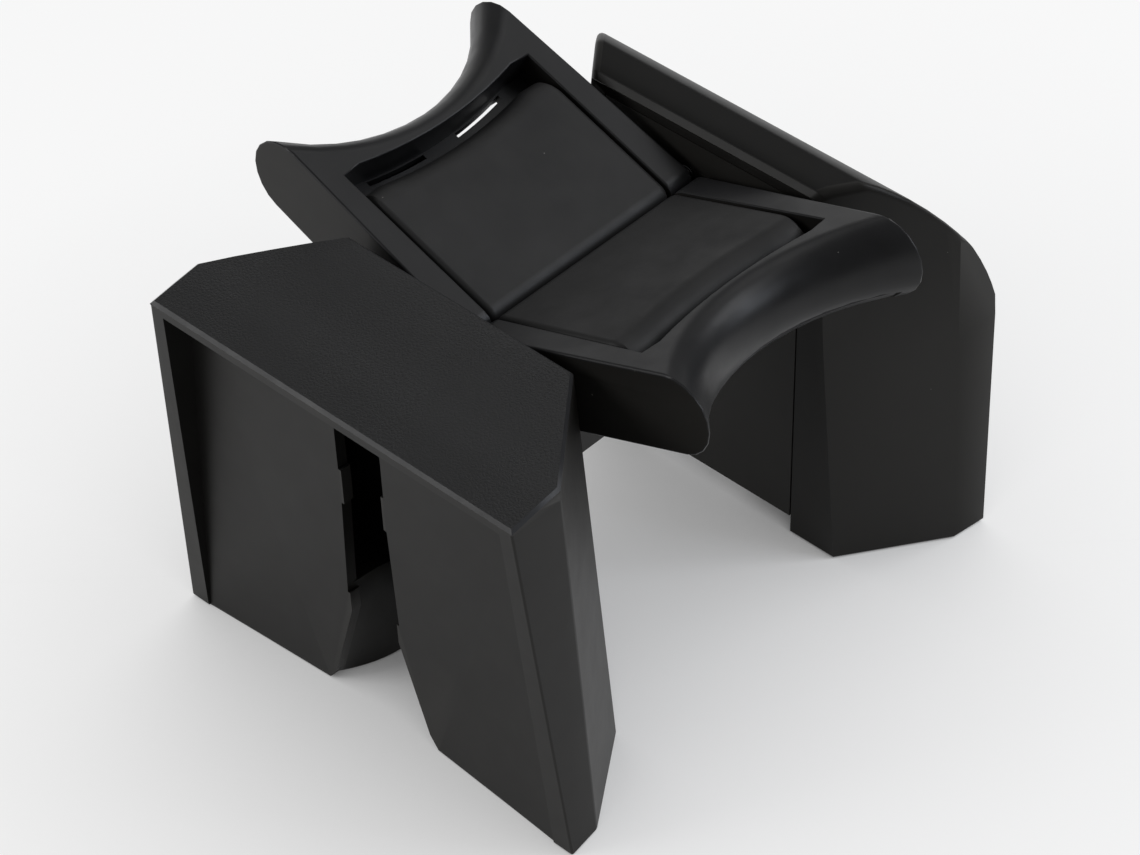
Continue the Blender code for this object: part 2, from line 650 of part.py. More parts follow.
def panel_recess():
    """Rings of the cut in front of the near block's panel, between its end rims and under its lip."""
    front = NEAR_REACH + REACH
    low_half = OUTER_HALF_FLOOR - RIM_WALL_FLOOR
    low_rim = near_side(0.0) - PANEL_SET_BACK_RIM
    low_middle = near_panel(0.0)
    top_half = OUTER_HALF_TOP - RIM_WALL_TOP
    top_panel = near_panel(LIP_HEIGHT)
    low_back = [(-low_half, low_rim), (-SLOT_MOUTH_HALF, low_middle)]
    low_back += [(SLOT_MOUTH_HALF, low_middle), (low_half, low_rim)]
    top_back = [(x, top_panel) for x in (-top_half, -SLOT_MOUTH_HALF, SLOT_MOUTH_HALF, top_half)]
    low_back += [(low_half, front), (-low_half, front)]
    top_back += [(top_half, front), (-top_half, front)]
    low = [Vector((x, y, -GAP)) for x, y in low_back]
    top = [Vector((x, y, near_top(y) - LIP_THICKNESS)) for x, y in top_back]
    return [low, top]


def make_end_block(end, side_at, wall_at, reach_height, top_line, slot_top, material, middle):
    """A hollow end block, open below and towards the wings, with its slot and its leg returns."""
    facing = empty(f"{end}_block_facing", middle)
    facing.rotation_euler = (0.0, 0.0, pi if end == "near" else 0.0)
    name = f"{end}_end_block"
    levels = (0.0, reach_height, BLOCK_CEILING)
    outside = [[Vector((x, y, z)) for x, y in block_plan(z, side_at(z))] for z in levels]
    block = lofted(name, outside, material, facing)
    combine(block, lofted(f"{name}_top", side_profile(top_line(0.0)), material, facing), "INTERSECT")
    inside = []
    for height in (-REACH, reach_height, BLOCK_CEILING):
        plan = inset(block_plan(height, wall_at(height)), BLOCK_WALL)
        inside.append([Vector((x, y, height)) for x, y in plan])
    cavity = lofted(f"{name}_cavity", inside, material, facing)
    ceiling = side_profile(top_line(BLOCK_TOP_WALL))
    combine(cavity, lofted(f"{name}_ceiling", ceiling, material, facing), "INTERSECT")
    combine(block, cavity)
    opening = box(
        (-INNER_OPENING_HALF, INNER_FACE_FLOOR - REACH, -REACH),
        (INNER_OPENING_HALF, INNER_FACE_TOP + BLOCK_WALL + INNER_LEAN, INNER_OPENING_TOP),
    )
    combine(block, lofted(f"{name}_opening", opening, material, facing))
    if end == "near":
        combine(block, lofted(f"{name}_recess", panel_recess(), material, facing))
    slot = along_y(slot_outline(slot_top), wall_at(0.0) - BLOCK_WALL - GAP, NEAR_REACH + REACH)
    combine(block, lofted(f"{name}_slot", slot, material, facing))
    for side, sign in block_sides(end):
        combine(block, lofted(f"{name}_{side}_return", leg_return(sign, wall_at), material, facing), "UNION")
    return facing


def make_inner_wall(end, facing, material):
    """The panel that closes a block towards the wings, with the hinge boss and the screw holes."""
    half = INNER_OPENING_HALF - GAP
    lap = half + FLANGE_LAP
    rings = []
    for height in (INNER_WALL_FOOT, INNER_OPENING_TOP - GAP):
        face = inner_face(height)
        step = face + BLOCK_WALL + GAP
        back = step + FLANGE_THICKNESS
        right = [(half, face), (half, step), (lap, step), (lap, back)]
        outline = right + [(-x, y) for x, y in reversed(right)]
        rings.append([Vector((x, y, height)) for x, y in outline])
    wall = lofted(f"{end}_inner_wall", rings, material, facing)
    face = inner_face(AXIS_Z)
    back = face + BLOCK_WALL + GAP + FLANGE_THICKNESS
    anchor_x, anchor_z = spring_anchor()
    boss_half = max(AXIS_X + BORE_RADIUS, anchor_x + SPRING_HOLE_RADIUS) + BOSS_MARGIN
    boss = box(
        (-boss_half, back - FLANGE_THICKNESS / 2, anchor_z - SPRING_HOLE_RADIUS - BOSS_MARGIN),
        (boss_half, back + BOSS_DEPTH, AXIS_Z + BORE_RADIUS + BOSS_MARGIN),
    )
    combine(wall, lofted(f"{end}_hinge_boss", boss, material, facing), "UNION")
    for side, sign in block_sides(end):
        pin_seat = along_y(circle((sign * AXIS_X, AXIS_Z), BORE_RADIUS), face - REACH, face + PIN_SEAT + GAP)
        combine(wall, lofted(f"{end}_{side}_pin_seat", pin_seat, material, facing))
        hook = circle((sign * anchor_x, anchor_z), SPRING_HOLE_RADIUS, ROUND_STEPS)
        hook_hole = along_y(hook, face - REACH, face + SPRING_HOOK + GAP)
        combine(wall, lofted(f"{end}_{side}_hook_hole", hook_hole, material, facing))
        screw_hole = circle((sign * BRIDGE_SCREW_X, bridge_screw_height()), BRIDGE_SCREW_RADIUS + GAP)
        cutter = along_y(screw_hole, face - REACH, back + REACH)
        combine(wall, lofted(f"{end}_{side}_wall_hole", cutter, material, facing))


def beam_top(x):
    """Height of the beam's V-shaped top, just under the wings' undersides."""
    slope = WING_TILT - UNDERSIDE_TAPER
    start = underside(0.0)
    foot_x = AXIS_X - start * sin(WING_TILT)
    foot_z = AXIS_Z + start * cos(WING_TILT)
    return foot_z + (abs(x) - foot_x) * tan(slope) - GAP / cos(slope)


def beam_bottom():
    """Height of the beam's lower edges."""
    return beam_top(BEAM_HALF_WIDTH) - BEAM_SKIRT


def bridge_screw_height():
    """Height of the screws in the beam's end plates."""
    return (beam_bottom() + beam_top(BRIDGE_SCREW_X)) / 2


def make_bridge_beam(material, middle):
    """The beam under the wings: a V-topped channel with a middle rib and an end plate at each block."""
    bottom = beam_bottom()
    half_length = inner_face(bottom) - GAP
    whole = [
        (0.0, beam_top(0.0)),
        (-BEAM_HALF_WIDTH, beam_top(BEAM_HALF_WIDTH)),
        (-BEAM_HALF_WIDTH, bottom),
        (BEAM_HALF_WIDTH, bottom),
        (BEAM_HALF_WIDTH, beam_top(BEAM_HALF_WIDTH)),
    ]
    beam = lofted("bridge_beam", along_y(whole, -half_length, half_length), material, middle)
    low_x = BEAM_RIB / 2
    high_x = BEAM_HALF_WIDTH - BEAM_WALL
    bay_half = half_length - BEAM_END_PLATE
    for side, sign in (("left", -1), ("right", 1)):
        bay = [
            (sign * low_x, bottom - REACH),
            (sign * high_x, bottom - REACH),
            (sign * high_x, beam_top(high_x) - BEAM_WALL),
            (sign * low_x, beam_top(low_x) - BEAM_WALL),
        ]
        combine(beam, lofted(f"{side}_beam_bay", along_y(bay, -bay_half, bay_half), material, middle))
        hole = circle((sign * BRIDGE_SCREW_X, bridge_screw_height()), BRIDGE_SCREW_RADIUS + GAP)
        cutter = along_y(hole, -half_length - REACH, half_length + REACH)
        combine(beam, lofted(f"{side}_beam_hole", cutter, material, middle))


def make_bridge_screws(end, facing, material):
    """The two screws that clamp an inner wall, and the block with it, to the beam."""
    height = bridge_screw_height()
    head_seat = inner_face(height) + BLOCK_WALL + GAP + FLANGE_THICKNESS + GAP
    length = head_seat - inner_face(height) + BEAM_END_PLATE
    size = (BRIDGE_SCREW_RADIUS, length, BRIDGE_SCREW_HEAD_RADIUS, BRIDGE_SCREW_HEAD)
    for side, sign in block_sides(end):
        screw = make_screw(f"{end}_{side}_bridge_screw", *size, material, facing)
        screw.location = (sign * BRIDGE_SCREW_X, head_seat, height)
        screw.rotation_euler = (pi / 2, 0.0, 0.0)


def make_hinge_pin(side, sign, material, middle):
    """A steel pin along the hinge axis, seated in both inner walls."""
    half_length = inner_face(AXIS_Z) + PIN_SEAT
    rings = along_y(circle((0.0, 0.0), PIN_RADIUS), -half_length, half_length)
    pin = lofted(f"{side}_hinge_pin", rings, material, middle, smooth=True)
    pin.location = (sign * AXIS_X, 0.0, AXIS_Z)


def spring_angles():
    """Angles about the hinge axis where the coil starts, under the leg to the wing, and where it ends."""
    start = WING_TILT + acos(SPRING_RADIUS / SPRING_LEG)
    return start, start + 2 * pi * SPRING_TURNS


def spring_anchor():
    """Place in X and Z of the spring's hook in the inner wall."""
    end = spring_angles()[1]
    x = AXIS_X + SPRING_RADIUS * cos(end) - SPRING_ANCHOR * sin(end)
    return x, AXIS_Z + SPRING_RADIUS * sin(end) + SPRING_ANCHOR * cos(end)


def spring_route():
    """Middle line of the far right spring: hook in the wing, leg, coil, leg and hook in the inner wall."""
    wing_side = SPRING_SEAT + GAP + SPRING_WIRE / 2
    wall_side = inner_face(AXIS_Z) - GAP - SPRING_WIRE / 2
    start, end = spring_angles()
    hook_x = AXIS_X + SPRING_LEG * cos(WING_TILT)
    hook_z = AXIS_Z + SPRING_LEG * sin(WING_TILT)
    route = [(hook_x, SPRING_SEAT - SPRING_HOOK, hook_z), (hook_x, wing_side, hook_z)]
    steps = round(SPRING_TURNS * SPRING_POINTS_PER_TURN)
    for angle, y in zip(spread(start, end, steps), spread(wing_side, wall_side, steps)):
        route.append((AXIS_X + SPRING_RADIUS * cos(angle), y, AXIS_Z + SPRING_RADIUS * sin(angle)))
    anchor_x, anchor_z = spring_anchor()
    route.append((anchor_x, wall_side, anchor_z))
    route.append((anchor_x, inner_face(AXIS_Z) + SPRING_HOOK, anchor_z))
    return route


def least_coil_gap():
    """Least gap between neighbouring turns of a spring, measured on its points."""
    coil = [Vector(point) for point in spring_route()[2:-2]]
    skipped = SPRING_POINTS_PER_TURN // 2
    apart = [
        (first - second).length
        for index, first in enumerate(coil)
        for second in coil[index + skipped :]
    ]
    return min(apart) - SPRING_WIRE


def make_spring(side, x_sign, end, y_sign, material, middle):
    """A torsion spring round one end of a hinge pin."""
    name = f"{side}_{end}_spring"
    curve = bpy.data.curves.new(name, "CURVE")
    curve.dimensions = "3D"
    curve.bevel_depth = SPRING_WIRE / 2
    curve.bevel_resolution = 1
    curve.use_fill_caps = True
    route = spring_route()
    spline = curve.splines.new("POLY")
    spline.points.add(len(route) - 1)
    for point, (x, y, z) in zip(spline.points, route):
        point.co = (x_sign * x, y_sign * y, z, 1.0)
    curve.materials.append(material)
    spring = bpy.data.objects.new(name, curve)
    bpy.context.scene.collection.objects.link(spring)
    spring.parent = middle


def main():
    """Build the whole part in an empty scene."""
    for old in list(bpy.data.objects):
        bpy.data.objects.remove(old)
    block_plastic = plain_material("black_block_plastic", (0.013, 0.013, 0.014), 0.42, 0.0)
    frame_plastic = plain_material("black_wing_plastic", (0.011, 0.011, 0.012), 0.36, 0.0)
    pad_plastic = plain_material("black_pad_plastic", (0.012, 0.012, 0.013), 0.50, 0.0)
    pin_steel = plain_material("pin_steel", (0.55, 0.55, 0.56), 0.30, 1.0)
    spring_steel = plain_material("spring_steel", (0.42, 0.42, 0.43), 0.35, 1.0)
    screw_steel = plain_material("black_screw_steel", (0.05, 0.05, 0.05), 0.40, 1.0)

    middle = empty("wing_middle")
    middle.location = (0.0, WING_MIDDLE_Y, 0.0)
    near_slot_top = near_top(NEAR_REACH) - LIP_THICKNESS - SLOT_TOP_MARGIN
    far_slot_top = FAR_SHOULDER_HEIGHT - BLOCK_TOP_WALL - SLOT_TOP_MARGIN
    near_form = (near_side, near_panel, LIP_HEIGHT, near_top_line, near_slot_top)
    far_form = (far_side, far_side, FAR_SHOULDER_HEIGHT, far_top_line, far_slot_top)
    for end, form in (("near", near_form), ("far", far_form)):
        facing = make_end_block(end, *form, block_plastic, middle)
        make_inner_wall(end, facing, block_plastic)
        make_bridge_screws(end, facing, screw_steel)
    make_bridge_beam(block_plastic, middle)
    for side, x_sign in (("left", -1), ("right", 1)):
        make_wing(side, x_sign, middle, frame_plastic, pad_plastic, screw_steel)
        make_hinge_pin(side, x_sign, pin_steel, middle)
        for end, y_sign in (("near", -1), ("far", 1)):
            make_spring(side, x_sign, end, y_sign, spring_steel, middle)
    print(f"least gap between spring turns: {least_coil_gap() * 1000:.2f} mm")


if __name__ == "__main__":
    main()
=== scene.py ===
"""Looks of a divider for a cup well: end blocks, a bridge and two sprung wings with concave rims.

Metres, +Z up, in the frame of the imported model. X runs from cup to cup, and Y from the near block
to the far one.
"""

import logging
from contextlib import contextmanager
from dataclasses import dataclass
from enum import Enum
from functools import cached_property
from math import acos, cos, pi, radians, sin, tau
from typing import Callable, Iterator, Sequence

import bmesh
import bpy
from mathutils import Matrix, Vector
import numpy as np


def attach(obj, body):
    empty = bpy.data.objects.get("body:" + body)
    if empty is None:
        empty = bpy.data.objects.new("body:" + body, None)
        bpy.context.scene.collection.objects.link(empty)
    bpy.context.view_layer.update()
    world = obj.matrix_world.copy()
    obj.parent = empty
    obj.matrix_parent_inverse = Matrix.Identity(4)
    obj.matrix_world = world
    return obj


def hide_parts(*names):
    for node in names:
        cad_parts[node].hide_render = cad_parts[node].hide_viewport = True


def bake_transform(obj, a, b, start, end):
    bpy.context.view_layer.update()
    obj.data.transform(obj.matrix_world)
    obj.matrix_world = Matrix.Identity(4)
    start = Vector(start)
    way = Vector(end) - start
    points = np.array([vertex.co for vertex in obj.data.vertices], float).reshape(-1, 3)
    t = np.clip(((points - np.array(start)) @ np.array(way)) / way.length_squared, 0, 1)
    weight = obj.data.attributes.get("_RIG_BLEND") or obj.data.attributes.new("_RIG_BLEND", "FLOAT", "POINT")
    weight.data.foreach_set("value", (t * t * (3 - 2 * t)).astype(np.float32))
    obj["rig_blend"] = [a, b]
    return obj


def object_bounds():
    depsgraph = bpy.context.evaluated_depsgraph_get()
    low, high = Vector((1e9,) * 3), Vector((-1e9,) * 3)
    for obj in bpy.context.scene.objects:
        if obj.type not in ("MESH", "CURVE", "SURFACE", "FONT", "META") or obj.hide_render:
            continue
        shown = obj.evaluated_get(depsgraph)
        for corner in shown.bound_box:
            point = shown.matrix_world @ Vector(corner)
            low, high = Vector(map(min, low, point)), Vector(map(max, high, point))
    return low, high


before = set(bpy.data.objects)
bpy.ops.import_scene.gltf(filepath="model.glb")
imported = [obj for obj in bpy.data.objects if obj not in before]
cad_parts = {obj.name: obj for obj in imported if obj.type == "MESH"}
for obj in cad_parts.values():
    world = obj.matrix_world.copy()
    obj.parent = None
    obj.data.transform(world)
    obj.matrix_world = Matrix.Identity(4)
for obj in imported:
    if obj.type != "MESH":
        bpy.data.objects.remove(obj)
CAD_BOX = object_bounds()

LOG = logging.getLogger("cup_well_divider")
MERGE_DISTANCE = 1e-6
FLAT_ANGLE = radians(0.4)
SMOOTH_ANGLE = radians(32)
BEVEL_LAYER = "bevel_weight_edge"
# The wings, and the springs at their ends, are centred on this Y.
MIDDLE_Y = 0.00105

Colour = tuple[float, float, float]
Range = tuple[float, float]
Socket = bpy.types.NodeSocket
EdgeTest = Callable[[bmesh.types.BMEdge], bool]
FaceTest = Callable[[bmesh.types.BMFace], bool]


class Body(Enum):
    """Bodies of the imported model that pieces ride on."""

    BASE = "base"
    LEFT_WING = "left_wing"
    RIGHT_WING = "right_wing"


class Slot(Enum):
    """Material slots of the record."""

    BLOCK = "block_plastic"
    WING = "wing_plastic"
    PAD = "pad_plastic"
    PIN = "pin_steel"
    SPRING = "spring_steel"
    SCREW = "screw_steel"


class Side(Enum):
    """The two wings, with the sign of their direction along X."""

    LEFT = -1
    RIGHT = 1

    @property
    def word(self) -> str:
        """Lower-case name that the model's nodes use."""
        return self.name.lower()

    @property
    def body(self) -> Body:
        """Body of this side's wing."""
        return Body.LEFT_WING if self is Side.LEFT else Body.RIGHT_WING


class End(Enum):
    """The two end blocks, with the sign of their direction along Y."""

    NEAR = -1
    FAR = 1

    @property
    def word(self) -> str:
        """Lower-case name that the model's nodes use."""
        return self.name.lower()


class SelectMode(Enum):
    """What an edit picks."""

    VERTICES = "VERT"
    EDGES = "EDGE"
    FACES = "FACE"


def make_active(piece: bpy.types.Object) -> None:
    """Select one object alone and make it the active one.

    Args:
        piece: The object.
    """
    bpy.ops.object.select_all(action="DESELECT")
    piece.select_set(True)
    bpy.context.view_layer.objects.active = piece


@contextmanager
def editing(piece: bpy.types.Object, mode: SelectMode) -> Iterator[bmesh.types.BMesh]:
    """Edit mode on one piece with nothing selected.

    Args:
        piece: The mesh object to edit.
        mode: What the edit picks.

    Returns:
        The edit mesh, for picking faces and edges by their place.
    """
    make_active(piece)
    bpy.ops.object.mode_set(mode="EDIT")
    bpy.ops.mesh.select_mode(type=mode.value)
    bpy.ops.mesh.select_all(action="DESELECT")
    yield bmesh.from_edit_mesh(piece.data)
    bpy.ops.object.mode_set(mode="OBJECT")


def apply_modifier(piece: bpy.types.Object, kind: str, **settings: object) -> None:
    """Add a modifier to a piece, set it up and apply it.

    Args:
        piece: The piece.
        kind: Type of the modifier.
        settings: Values of its properties.
    """
    make_active(piece)
    modifier = piece.modifiers.new(kind.lower(), kind)
    for name, value in settings.items():
        setattr(modifier, name, value)
    bpy.ops.object.modifier_apply(modifier=modifier.name)


def merged_copy(node: str, name: str, weld: float = MERGE_DISTANCE) -> bpy.types.Object:
    """A copy of a CAD node with its triangles merged into whole faces.

    Args:
        node: Name of the CAD node.
        name: Name of the new piece.
        weld: Distance below which corners are merged.

    Returns:
        The new piece, in the node's place.
    """
    piece = bpy.data.objects.new(name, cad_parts[node].data.copy())
    bpy.context.scene.collection.objects.link(piece)
    piece.data.materials.clear()
    make_active(piece)
    bpy.ops.mesh.customdata_custom_splitnormals_clear()
    with editing(piece, SelectMode.VERTICES):
        bpy.ops.mesh.select_all(action="SELECT")
        bpy.ops.mesh.remove_doubles(threshold=MERGE_DISTANCE)
        bpy.ops.mesh.dissolve_limited(angle_limit=FLAT_ANGLE)
        bpy.ops.mesh.select_all(action="SELECT")
        bpy.ops.mesh.remove_doubles(threshold=weld)
    return piece


@dataclass(frozen=True)
class Fillet:
    """A radius for some of a moulding's sharp outer edges.

    Attributes:
        radius: The radius, or the width of a chamfer.
        where: Test of an edge's place.
        least_angle: Edges with a smaller turn stay as they are.
        least_length: Shorter edges stay as they are.
    """

    radius: float
    where: EdgeTest
    least_angle: float = radians(24)
    least_length: float = 0.0004

    def wants(self, edge: bmesh.types.BMEdge) -> bool:
        """Whether an edge is convex, sharp, long enough and in the right place to be rounded.

        Args:
            edge: The edge.

        Returns:
            True if the edge is to be rounded.
        """
        if len(edge.link_faces) != 2 or edge.calc_length() < self.least_length:
            return False
        return edge.calc_face_angle_signed() > self.least_angle and self.where(edge)


def round_edges(piece: bpy.types.Object, fillets: Sequence[Fillet], segments: int = 4) -> None:
    """Round edges of a moulding, each with the radius of the first fillet that wants it.

    Args:
        piece: The moulding.
        fillets: The radii, with the places where they hold.
        segments: Facets across each rounding.
    """
    widest = max(fillet.radius for fillet in fillets)
    count = 0
    with editing(piece, SelectMode.EDGES) as mesh:
        layers = mesh.edges.layers.float
        weight = layers.get(BEVEL_LAYER) or layers.new(BEVEL_LAYER)
        for edge in mesh.edges:
            chosen = next((fillet for fillet in fillets if fillet.wants(edge)), None)
            edge[weight] = chosen.radius / widest if chosen else 0.0
            count += chosen is not None
    apply_modifier(
        piece,
        "BEVEL",
        limit_method="WEIGHT",
        width=widest,
        segments=segments,
        use_clamp_overlap=False,
        loop_slide=False,
        miter_outer="MITER_ARC",
    )
    LOG.info("%s: %d edges rounded", piece.name, count)


def middle_of(edge: bmesh.types.BMEdge) -> Vector:
    """The middle of an edge."""
    return (edge.verts[0].co + edge.verts[1].co) / 2


def faces_out(edge: bmesh.types.BMEdge, heart: Vector) -> bool:
    """Whether both faces at an edge look away from a point inside the piece."""
    return all((face.calc_center_median() - heart).dot(face.normal) > 0 for face in edge.link_faces)


def smooth(piece: bpy.types.Object) -> None:
    """Shade a piece smooth, with its flat faces kept flat.

    Args:
        piece: The piece.
    """
    make_active(piece)
    bpy.ops.object.shade_smooth_by_angle(angle=SMOOTH_ANGLE)
    apply_modifier(piece, "WEIGHTED_NORMAL", keep_sharp=True)


class NodeTree:
    """Short calls for building a material from nodes, with patterns on Object coordinates."""

    def __init__(self, name: str) -> None:
        """Start a material with a Principled shader.

        Args:
            name: Name of the material.
        """
        self.material = bpy.data.materials.new(name)
        self.material.use_nodes = True
        self.tree = self.material.node_tree
        self.shader = self.tree.nodes["Principled BSDF"]
        self.output = self.tree.nodes["Material Output"]

    @cached_property
    def place(self) -> Socket:
        """Object coordinates, which every pattern follows."""
        return self.add("ShaderNodeTexCoord").outputs["Object"]

    def add(self, kind: str, **settings: object) -> bpy.types.Node:
        """Add a node.

        Args:
            kind: Type of the node.
            settings: Values of its properties.

        Returns:
            The node.
        """
        node = self.tree.nodes.new(kind)
        for name, value in settings.items():
            setattr(node, name, value)
        return node

    def link(self, source: Socket, target: Socket) -> None:
        """Join two sockets."""
        self.tree.links.new(source, target)

    def noise(self, size: float, detail: float = 2.0, roughness: float = 0.5) -> Socket:
        """Soft noise with features of a size, from 0 to 1.

        Args:
            size: Size of its features.
            detail: How many finer layers it has.
            roughness: How strong the finer layers are.

        Returns:
            The noise value.
        """
        node = self.add("ShaderNodeTexNoise")
        self.link(self.place, node.inputs["Vector"])
        node.inputs["Scale"].default_value = 1 / size
        node.inputs["Detail"].default_value = detail
        node.inputs["Roughness"].default_value = roughness
        return node.outputs["Fac"]

    def cells(self, size: float, feature: str) -> bpy.types.Node:
        """An irregular pattern with cells of a size.

        Args:
            size: Size of a cell.
            feature: What the pattern measures.

        Returns:
            The pattern's node.
        """
        node = self.add("ShaderNodeTexVoronoi", feature=feature)
        self.link(self.place, node.inputs["Vector"])
        node.inputs["Scale"].default_value = 1 / size
        return node

    def spread(self, value: Socket, source: Range, target: Range = (0.0, 1.0)) -> Socket:
        """A value moved from one range to another, and held inside it.

        Args:
            value: The value.
            source: The range that it is taken from.
            target: The range that it is moved to.

        Returns:
            The moved value.
        """
        node = self.add("ShaderNodeMapRange")
        self.link(value, node.inputs["Value"])
        for name, number in zip(("From Min", "From Max", "To Min", "To Max"), (*source, *target)):
            node.inputs[name].default_value = number
        return node.outputs["Result"]

    def maths(self, operation: str, first: Socket, second: Socket | float) -> Socket:
        """A sum, product or other operation on two values.

        Args:
            operation: Type of the operation.
            first: The first value.
            second: The second value, from a node or as a number.

        Returns:
            The result.
        """
        node = self.add("ShaderNodeMath", operation=operation)
        self.link(first, node.inputs[0])
        if isinstance(second, float):
            node.inputs[1].default_value = second
        else:
            self.link(second, node.inputs[1])
        return node.outputs["Value"]

    def blend(self, share: Socket, first: Socket | Colour, second: Socket | Colour) -> Socket:
        """A mix of two colours.

        Args:
            share: Share of the second colour.
            first: The first colour, from a node or as three numbers.
            second: The second colour, in the same way.

        Returns:
            The mixed colour.
        """
        node = self.add("ShaderNodeMix", data_type="RGBA")
        self.link(share, node.inputs["Factor"])
        for socket, colour in zip((node.inputs[6], node.inputs[7]), (first, second)):
            if isinstance(colour, Socket):
                self.link(colour, socket)
            else:
                socket.default_value = (*colour, 1.0)
        return node.outputs[2]

    def bump(self, height: Socket, depth: float, under: Socket | None = None) -> Socket:
        """A bumpy normal from a height between 0 and 1.

        Args:
            height: The height.
            depth: Metres that a height of 1 stands for.
            under: A bumpy normal that this one lies on.

        Returns:
            The normal.
        """
        node = self.add("ShaderNodeBump")
        node.inputs["Strength"].default_value = 1.0
        node.inputs["Distance"].default_value = depth
        self.link(height, node.inputs["Height"])
        if under is not None:
            self.link(under, node.inputs["Normal"])
        return node.outputs["Normal"]


@dataclass(frozen=True)
class MouldedPlastic:
    """Black moulded plastic: cloudy tone, fine skin, leather grain, dust and worn edges.

    Attributes:
        name: Name of the material.
        colour: Darker tone of the clouds.
        pale: Paler tone of the clouds.
        roughness: Middle of the surface's roughness.
        roughness_change: How far smears move the roughness up and down.
        skin_size: Size of the waves in the skin.
        skin_depth: Depth of these waves.
        grain_size: Size of the grain's larger pebbles.
        grain_depth: Depth of the grain, or 0 for none.
        dust_share: Share of the dust's cells that hold a speck.
        specular: Strength of the reflections.
    """

    name: str
    colour: Colour
    pale: Colour
    roughness: float
    roughness_change: float
    skin_size: float
    skin_depth: float
    grain_size: float = 0.0
    grain_depth: float = 0.0
    dust_share: float = 0.05
    specular: float = 0.27

    CLOUD_SIZE = 0.018
    CLOUD_RANGE = (0.35, 0.68)
    EDGE_RANGE = (0.515, 0.57)
    EDGE_WEAR = (0.0, 0.6)
    EDGE_PALENESS = 2.2
    SMEAR_SIZE = 0.006
    SMEAR_RANGE = (0.3, 0.7)
    DUST_CELL = 0.0042
    DUST_RADIUS = 0.035
    DUST_COLOUR = (0.16, 0.155, 0.145)
    DUST_ROUGHNESS = 0.3
    PEBBLE_RANGE = (0.0, 0.32)
    PEBBLE_HEIGHT = (0.0, 0.7)
    FINE_SHARE = 0.45
    FINE_RANGE = (0.0, 0.3)
    FINE_HEIGHT = (0.0, 0.3)
    PATCH_SIZE = 0.022
    PATCH_RANGE = (0.38, 0.62)
    PATCH_HEIGHT = (0.35, 1.0)

    def material(self) -> bpy.types.Material:
        """Build the node material.

        Returns:
            The material.
        """
        nodes = NodeTree(self.name)
        nodes.shader.inputs["Specular IOR Level"].default_value = self.specular
        cloud = nodes.noise(self.CLOUD_SIZE, detail=4.0, roughness=0.6)
        tone = nodes.blend(nodes.spread(cloud, self.CLOUD_RANGE), self.colour, self.pale)
        edge = nodes.add("ShaderNodeNewGeometry").outputs["Pointiness"]
        worn = nodes.spread(edge, self.EDGE_RANGE, self.EDGE_WEAR)
        tone = nodes.blend(worn, tone, tuple(self.EDGE_PALENESS * part for part in self.pale))
        dust = self.dust(nodes)
        nodes.link(nodes.blend(dust, tone, self.DUST_COLOUR), nodes.shader.inputs["Base Color"])

        smear = nodes.noise(self.SMEAR_SIZE, detail=5.0, roughness=0.65)
        low = self.roughness - self.roughness_change
        high = self.roughness + self.roughness_change
        dusty = nodes.maths("MULTIPLY", dust, self.DUST_ROUGHNESS)
        rough = nodes.maths("ADD", nodes.spread(smear, self.SMEAR_RANGE, (low, high)), dusty)
        nodes.link(rough, nodes.shader.inputs["Roughness"])

        normal = nodes.bump(nodes.noise(self.skin_size, detail=3.0), self.skin_depth)
        if self.grain_depth:
            normal = nodes.bump(self.grain(nodes), self.grain_depth, normal)
        nodes.link(normal, nodes.shader.inputs["Normal"])
        return nodes.material

    def dust(self, nodes: NodeTree) -> Socket:
        """Sparse specks of dust.

        Args:
            nodes: The material's nodes.

        Returns:
            1 on a speck and 0 beside it.
        """
        specks = nodes.cells(self.DUST_CELL, "F1")
        near = nodes.maths("LESS_THAN", specks.outputs["Distance"], self.DUST_RADIUS)
        split = nodes.add("ShaderNodeSeparateColor")
        nodes.link(specks.outputs["Color"], split.inputs["Color"])
        chosen = nodes.maths("LESS_THAN", split.outputs["Red"], self.dust_share)
        return nodes.maths("MULTIPLY", near, chosen)

    def grain(self, nodes: NodeTree) -> Socket:
        """Leather grain: pebbles of two sizes with creases between them, fainter in patches.

        Args:
            nodes: The material's nodes.

        Returns:
            Height from 0 in the creases to 1 on the pebbles.
        """
        coarse = nodes.cells(self.grain_size, "DISTANCE_TO_EDGE").outputs["Distance"]
        fine_size = self.grain_size * self.FINE_SHARE
        fine = nodes.cells(fine_size, "DISTANCE_TO_EDGE").outputs["Distance"]
        pebbles = nodes.spread(coarse, self.PEBBLE_RANGE, self.PEBBLE_HEIGHT)
        height = nodes.maths("ADD", pebbles, nodes.spread(fine, self.FINE_RANGE, self.FINE_HEIGHT))
        patches = nodes.spread(nodes.noise(self.PATCH_SIZE), self.PATCH_RANGE, self.PATCH_HEIGHT)
        return nodes.maths("MULTIPLY", height, patches)


